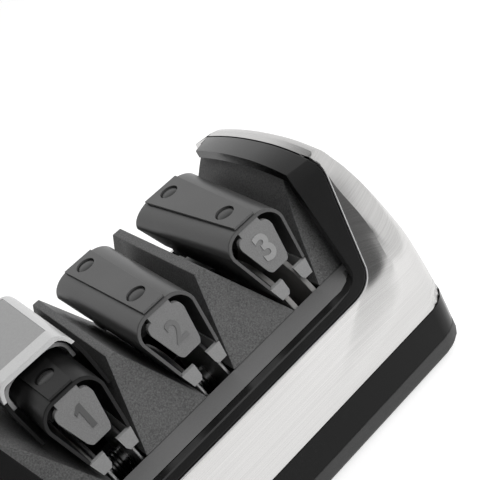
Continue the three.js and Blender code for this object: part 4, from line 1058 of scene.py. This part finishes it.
def makeFloor():
    bm = bmesh.new()
    bmesh.ops.create_grid(bm, x_segments=1, y_segments=1, size=studio["floorHalf"] * mm)
    mesh = bpy.data.meshes.new("floor")
    bm.to_mesh(mesh)
    bm.free()
    floor = bpy.data.objects.new("floor", mesh)
    bpy.context.scene.collection.objects.link(floor)
    material, tree, shader = newMaterial("pale_floor")
    shader.inputs["Base Color"].default_value = grey(studio["floorShade"])
    shader.inputs["Roughness"].default_value = 0.9
    shader.inputs["Specular IOR Level"].default_value = 0.1
    glow = addNode(tree, "ShaderNodeEmission", Strength=studio["floorGlow"])
    rays = addNode(tree, "ShaderNodeLightPath")
    both = addNode(tree, "ShaderNodeAddShader")
    choose = addNode(tree, "ShaderNodeMixShader")
    tree.links.new(shader.outputs[0], both.inputs[0])
    tree.links.new(glow.outputs[0], both.inputs[1])
    tree.links.new(seenRays(tree, rays), choose.inputs[0])
    tree.links.new(shader.outputs[0], choose.inputs[1])
    tree.links.new(both.outputs[0], choose.inputs[2])
    tree.links.new(choose.outputs[0], tree.nodes["Material Output"].inputs["Surface"])
    mesh.materials.append(material)


def makeWorld():
    world = bpy.data.worlds.new("studio")
    bpy.context.scene.world = world
    world.use_nodes = True
    tree = world.node_tree
    backdrop = tree.nodes["Background"]
    backdrop.inputs["Color"].default_value = grey(1.0)
    backdrop.inputs["Strength"].default_value = studio["ambient"]
    shown = addNode(tree, "ShaderNodeBackground", Strength=1.0)
    spot = addNode(tree, "ShaderNodeSeparateXYZ")
    tree.links.new(addNode(tree, "ShaderNodeTexCoord").outputs["Object"], spot.inputs[0])
    high = addNode(tree, "ShaderNodeMapRange", interpolation_type="SMOOTHSTEP")
    front = addNode(tree, "ShaderNodeMapRange", interpolation_type="SMOOTHSTEP")
    side = addNode(tree, "ShaderNodeMapRange", interpolation_type="SMOOTHSTEP")
    for node, low, top, output in ((high, 0.3, 0.62, "Z"), (front, 0.85, 0.35, "Y"), (side, 0.75, 0.42, "X")):
        node.inputs["From Min"].default_value = low
        node.inputs["From Max"].default_value = top
        tree.links.new(spot.outputs[output], node.inputs["Value"])
    shade = high
    for node in (front, side):
        both = addNode(tree, "ShaderNodeMath", operation="MULTIPLY")
        tree.links.new(shade.outputs[0], both.inputs[0])
        tree.links.new(node.outputs[0], both.inputs[1])
        shade = both
    tone = mixColour(tree, shade.outputs[0], grey(1.0), grey(studio["ceilingShade"]))
    rays = addNode(tree, "ShaderNodeLightPath")
    tree.links.new(mixColour(tree, rays.outputs["Is Camera Ray"], tone, grey(1.0)), shown.inputs["Color"])
    tree.links.new(tone, backdrop.inputs["Color"])
    choose = addNode(tree, "ShaderNodeMixShader")
    tree.links.new(seenRays(tree, rays), choose.inputs[0])
    tree.links.new(backdrop.outputs[0], choose.inputs[1])
    tree.links.new(shown.outputs[0], choose.inputs[2])
    tree.links.new(choose.outputs[0], tree.nodes["World Output"].inputs["Surface"])


def addLamp(name, spot, aim, size, power):
    light = bpy.data.lights.new(name, "AREA")
    light.shape = "RECTANGLE"
    light.size, light.size_y = size[0] * mm, size[1] * mm
    light.energy = power
    lamp = bpy.data.objects.new(name, light)
    lamp.visible_glossy = False
    bpy.context.scene.collection.objects.link(lamp)
    lamp.location = Vector(spot) * mm
    lamp.rotation_euler = ((Vector(aim) - Vector(spot)) * mm).to_track_quat("-Z", "Y").to_euler()


cameraAt = dict(place=(-91.25, -377.0, 349.3), azimuth=22.114, elevation=32.29, roll=-30.661, lens=71.53)


def makeCamera():
    data = bpy.data.cameras.new("camera")
    data.lens = cameraAt["lens"]
    data.sensor_width = 36
    data.clip_start, data.clip_end = 0.01, 20
    camera = bpy.data.objects.new("camera", data)
    bpy.context.scene.collection.objects.link(camera)
    around, down, roll = (math.radians(cameraAt[key]) for key in ("azimuth", "elevation", "roll"))
    forward = Vector((math.sin(around) * math.cos(down), math.cos(around) * math.cos(down), -math.sin(down)))
    right = forward.cross(Vector((0, 0, 1))).normalized()
    up = right.cross(forward)
    leanRight = right * math.cos(roll) + up * math.sin(roll)
    leanUp = up * math.cos(roll) - right * math.sin(roll)
    turn = Matrix((leanRight, leanUp, -forward)).transposed().to_4x4()
    turn.translation = Vector(cameraAt["place"]) * mm
    camera.matrix_world = turn
    bpy.context.scene.camera = camera


makeFloor()
makeWorld()
addLamp("key_lamp", (620, 260, 1250), (0, 0, 60), (2000, 2000), studio["keyPower"])
addLamp("front_lamp", (350, -800, 700), (0, 0, 60), (900, 900), studio["frontPower"])
makeCamera()
bpy.context.scene.view_settings.view_transform = "Standard"
print("studio made")
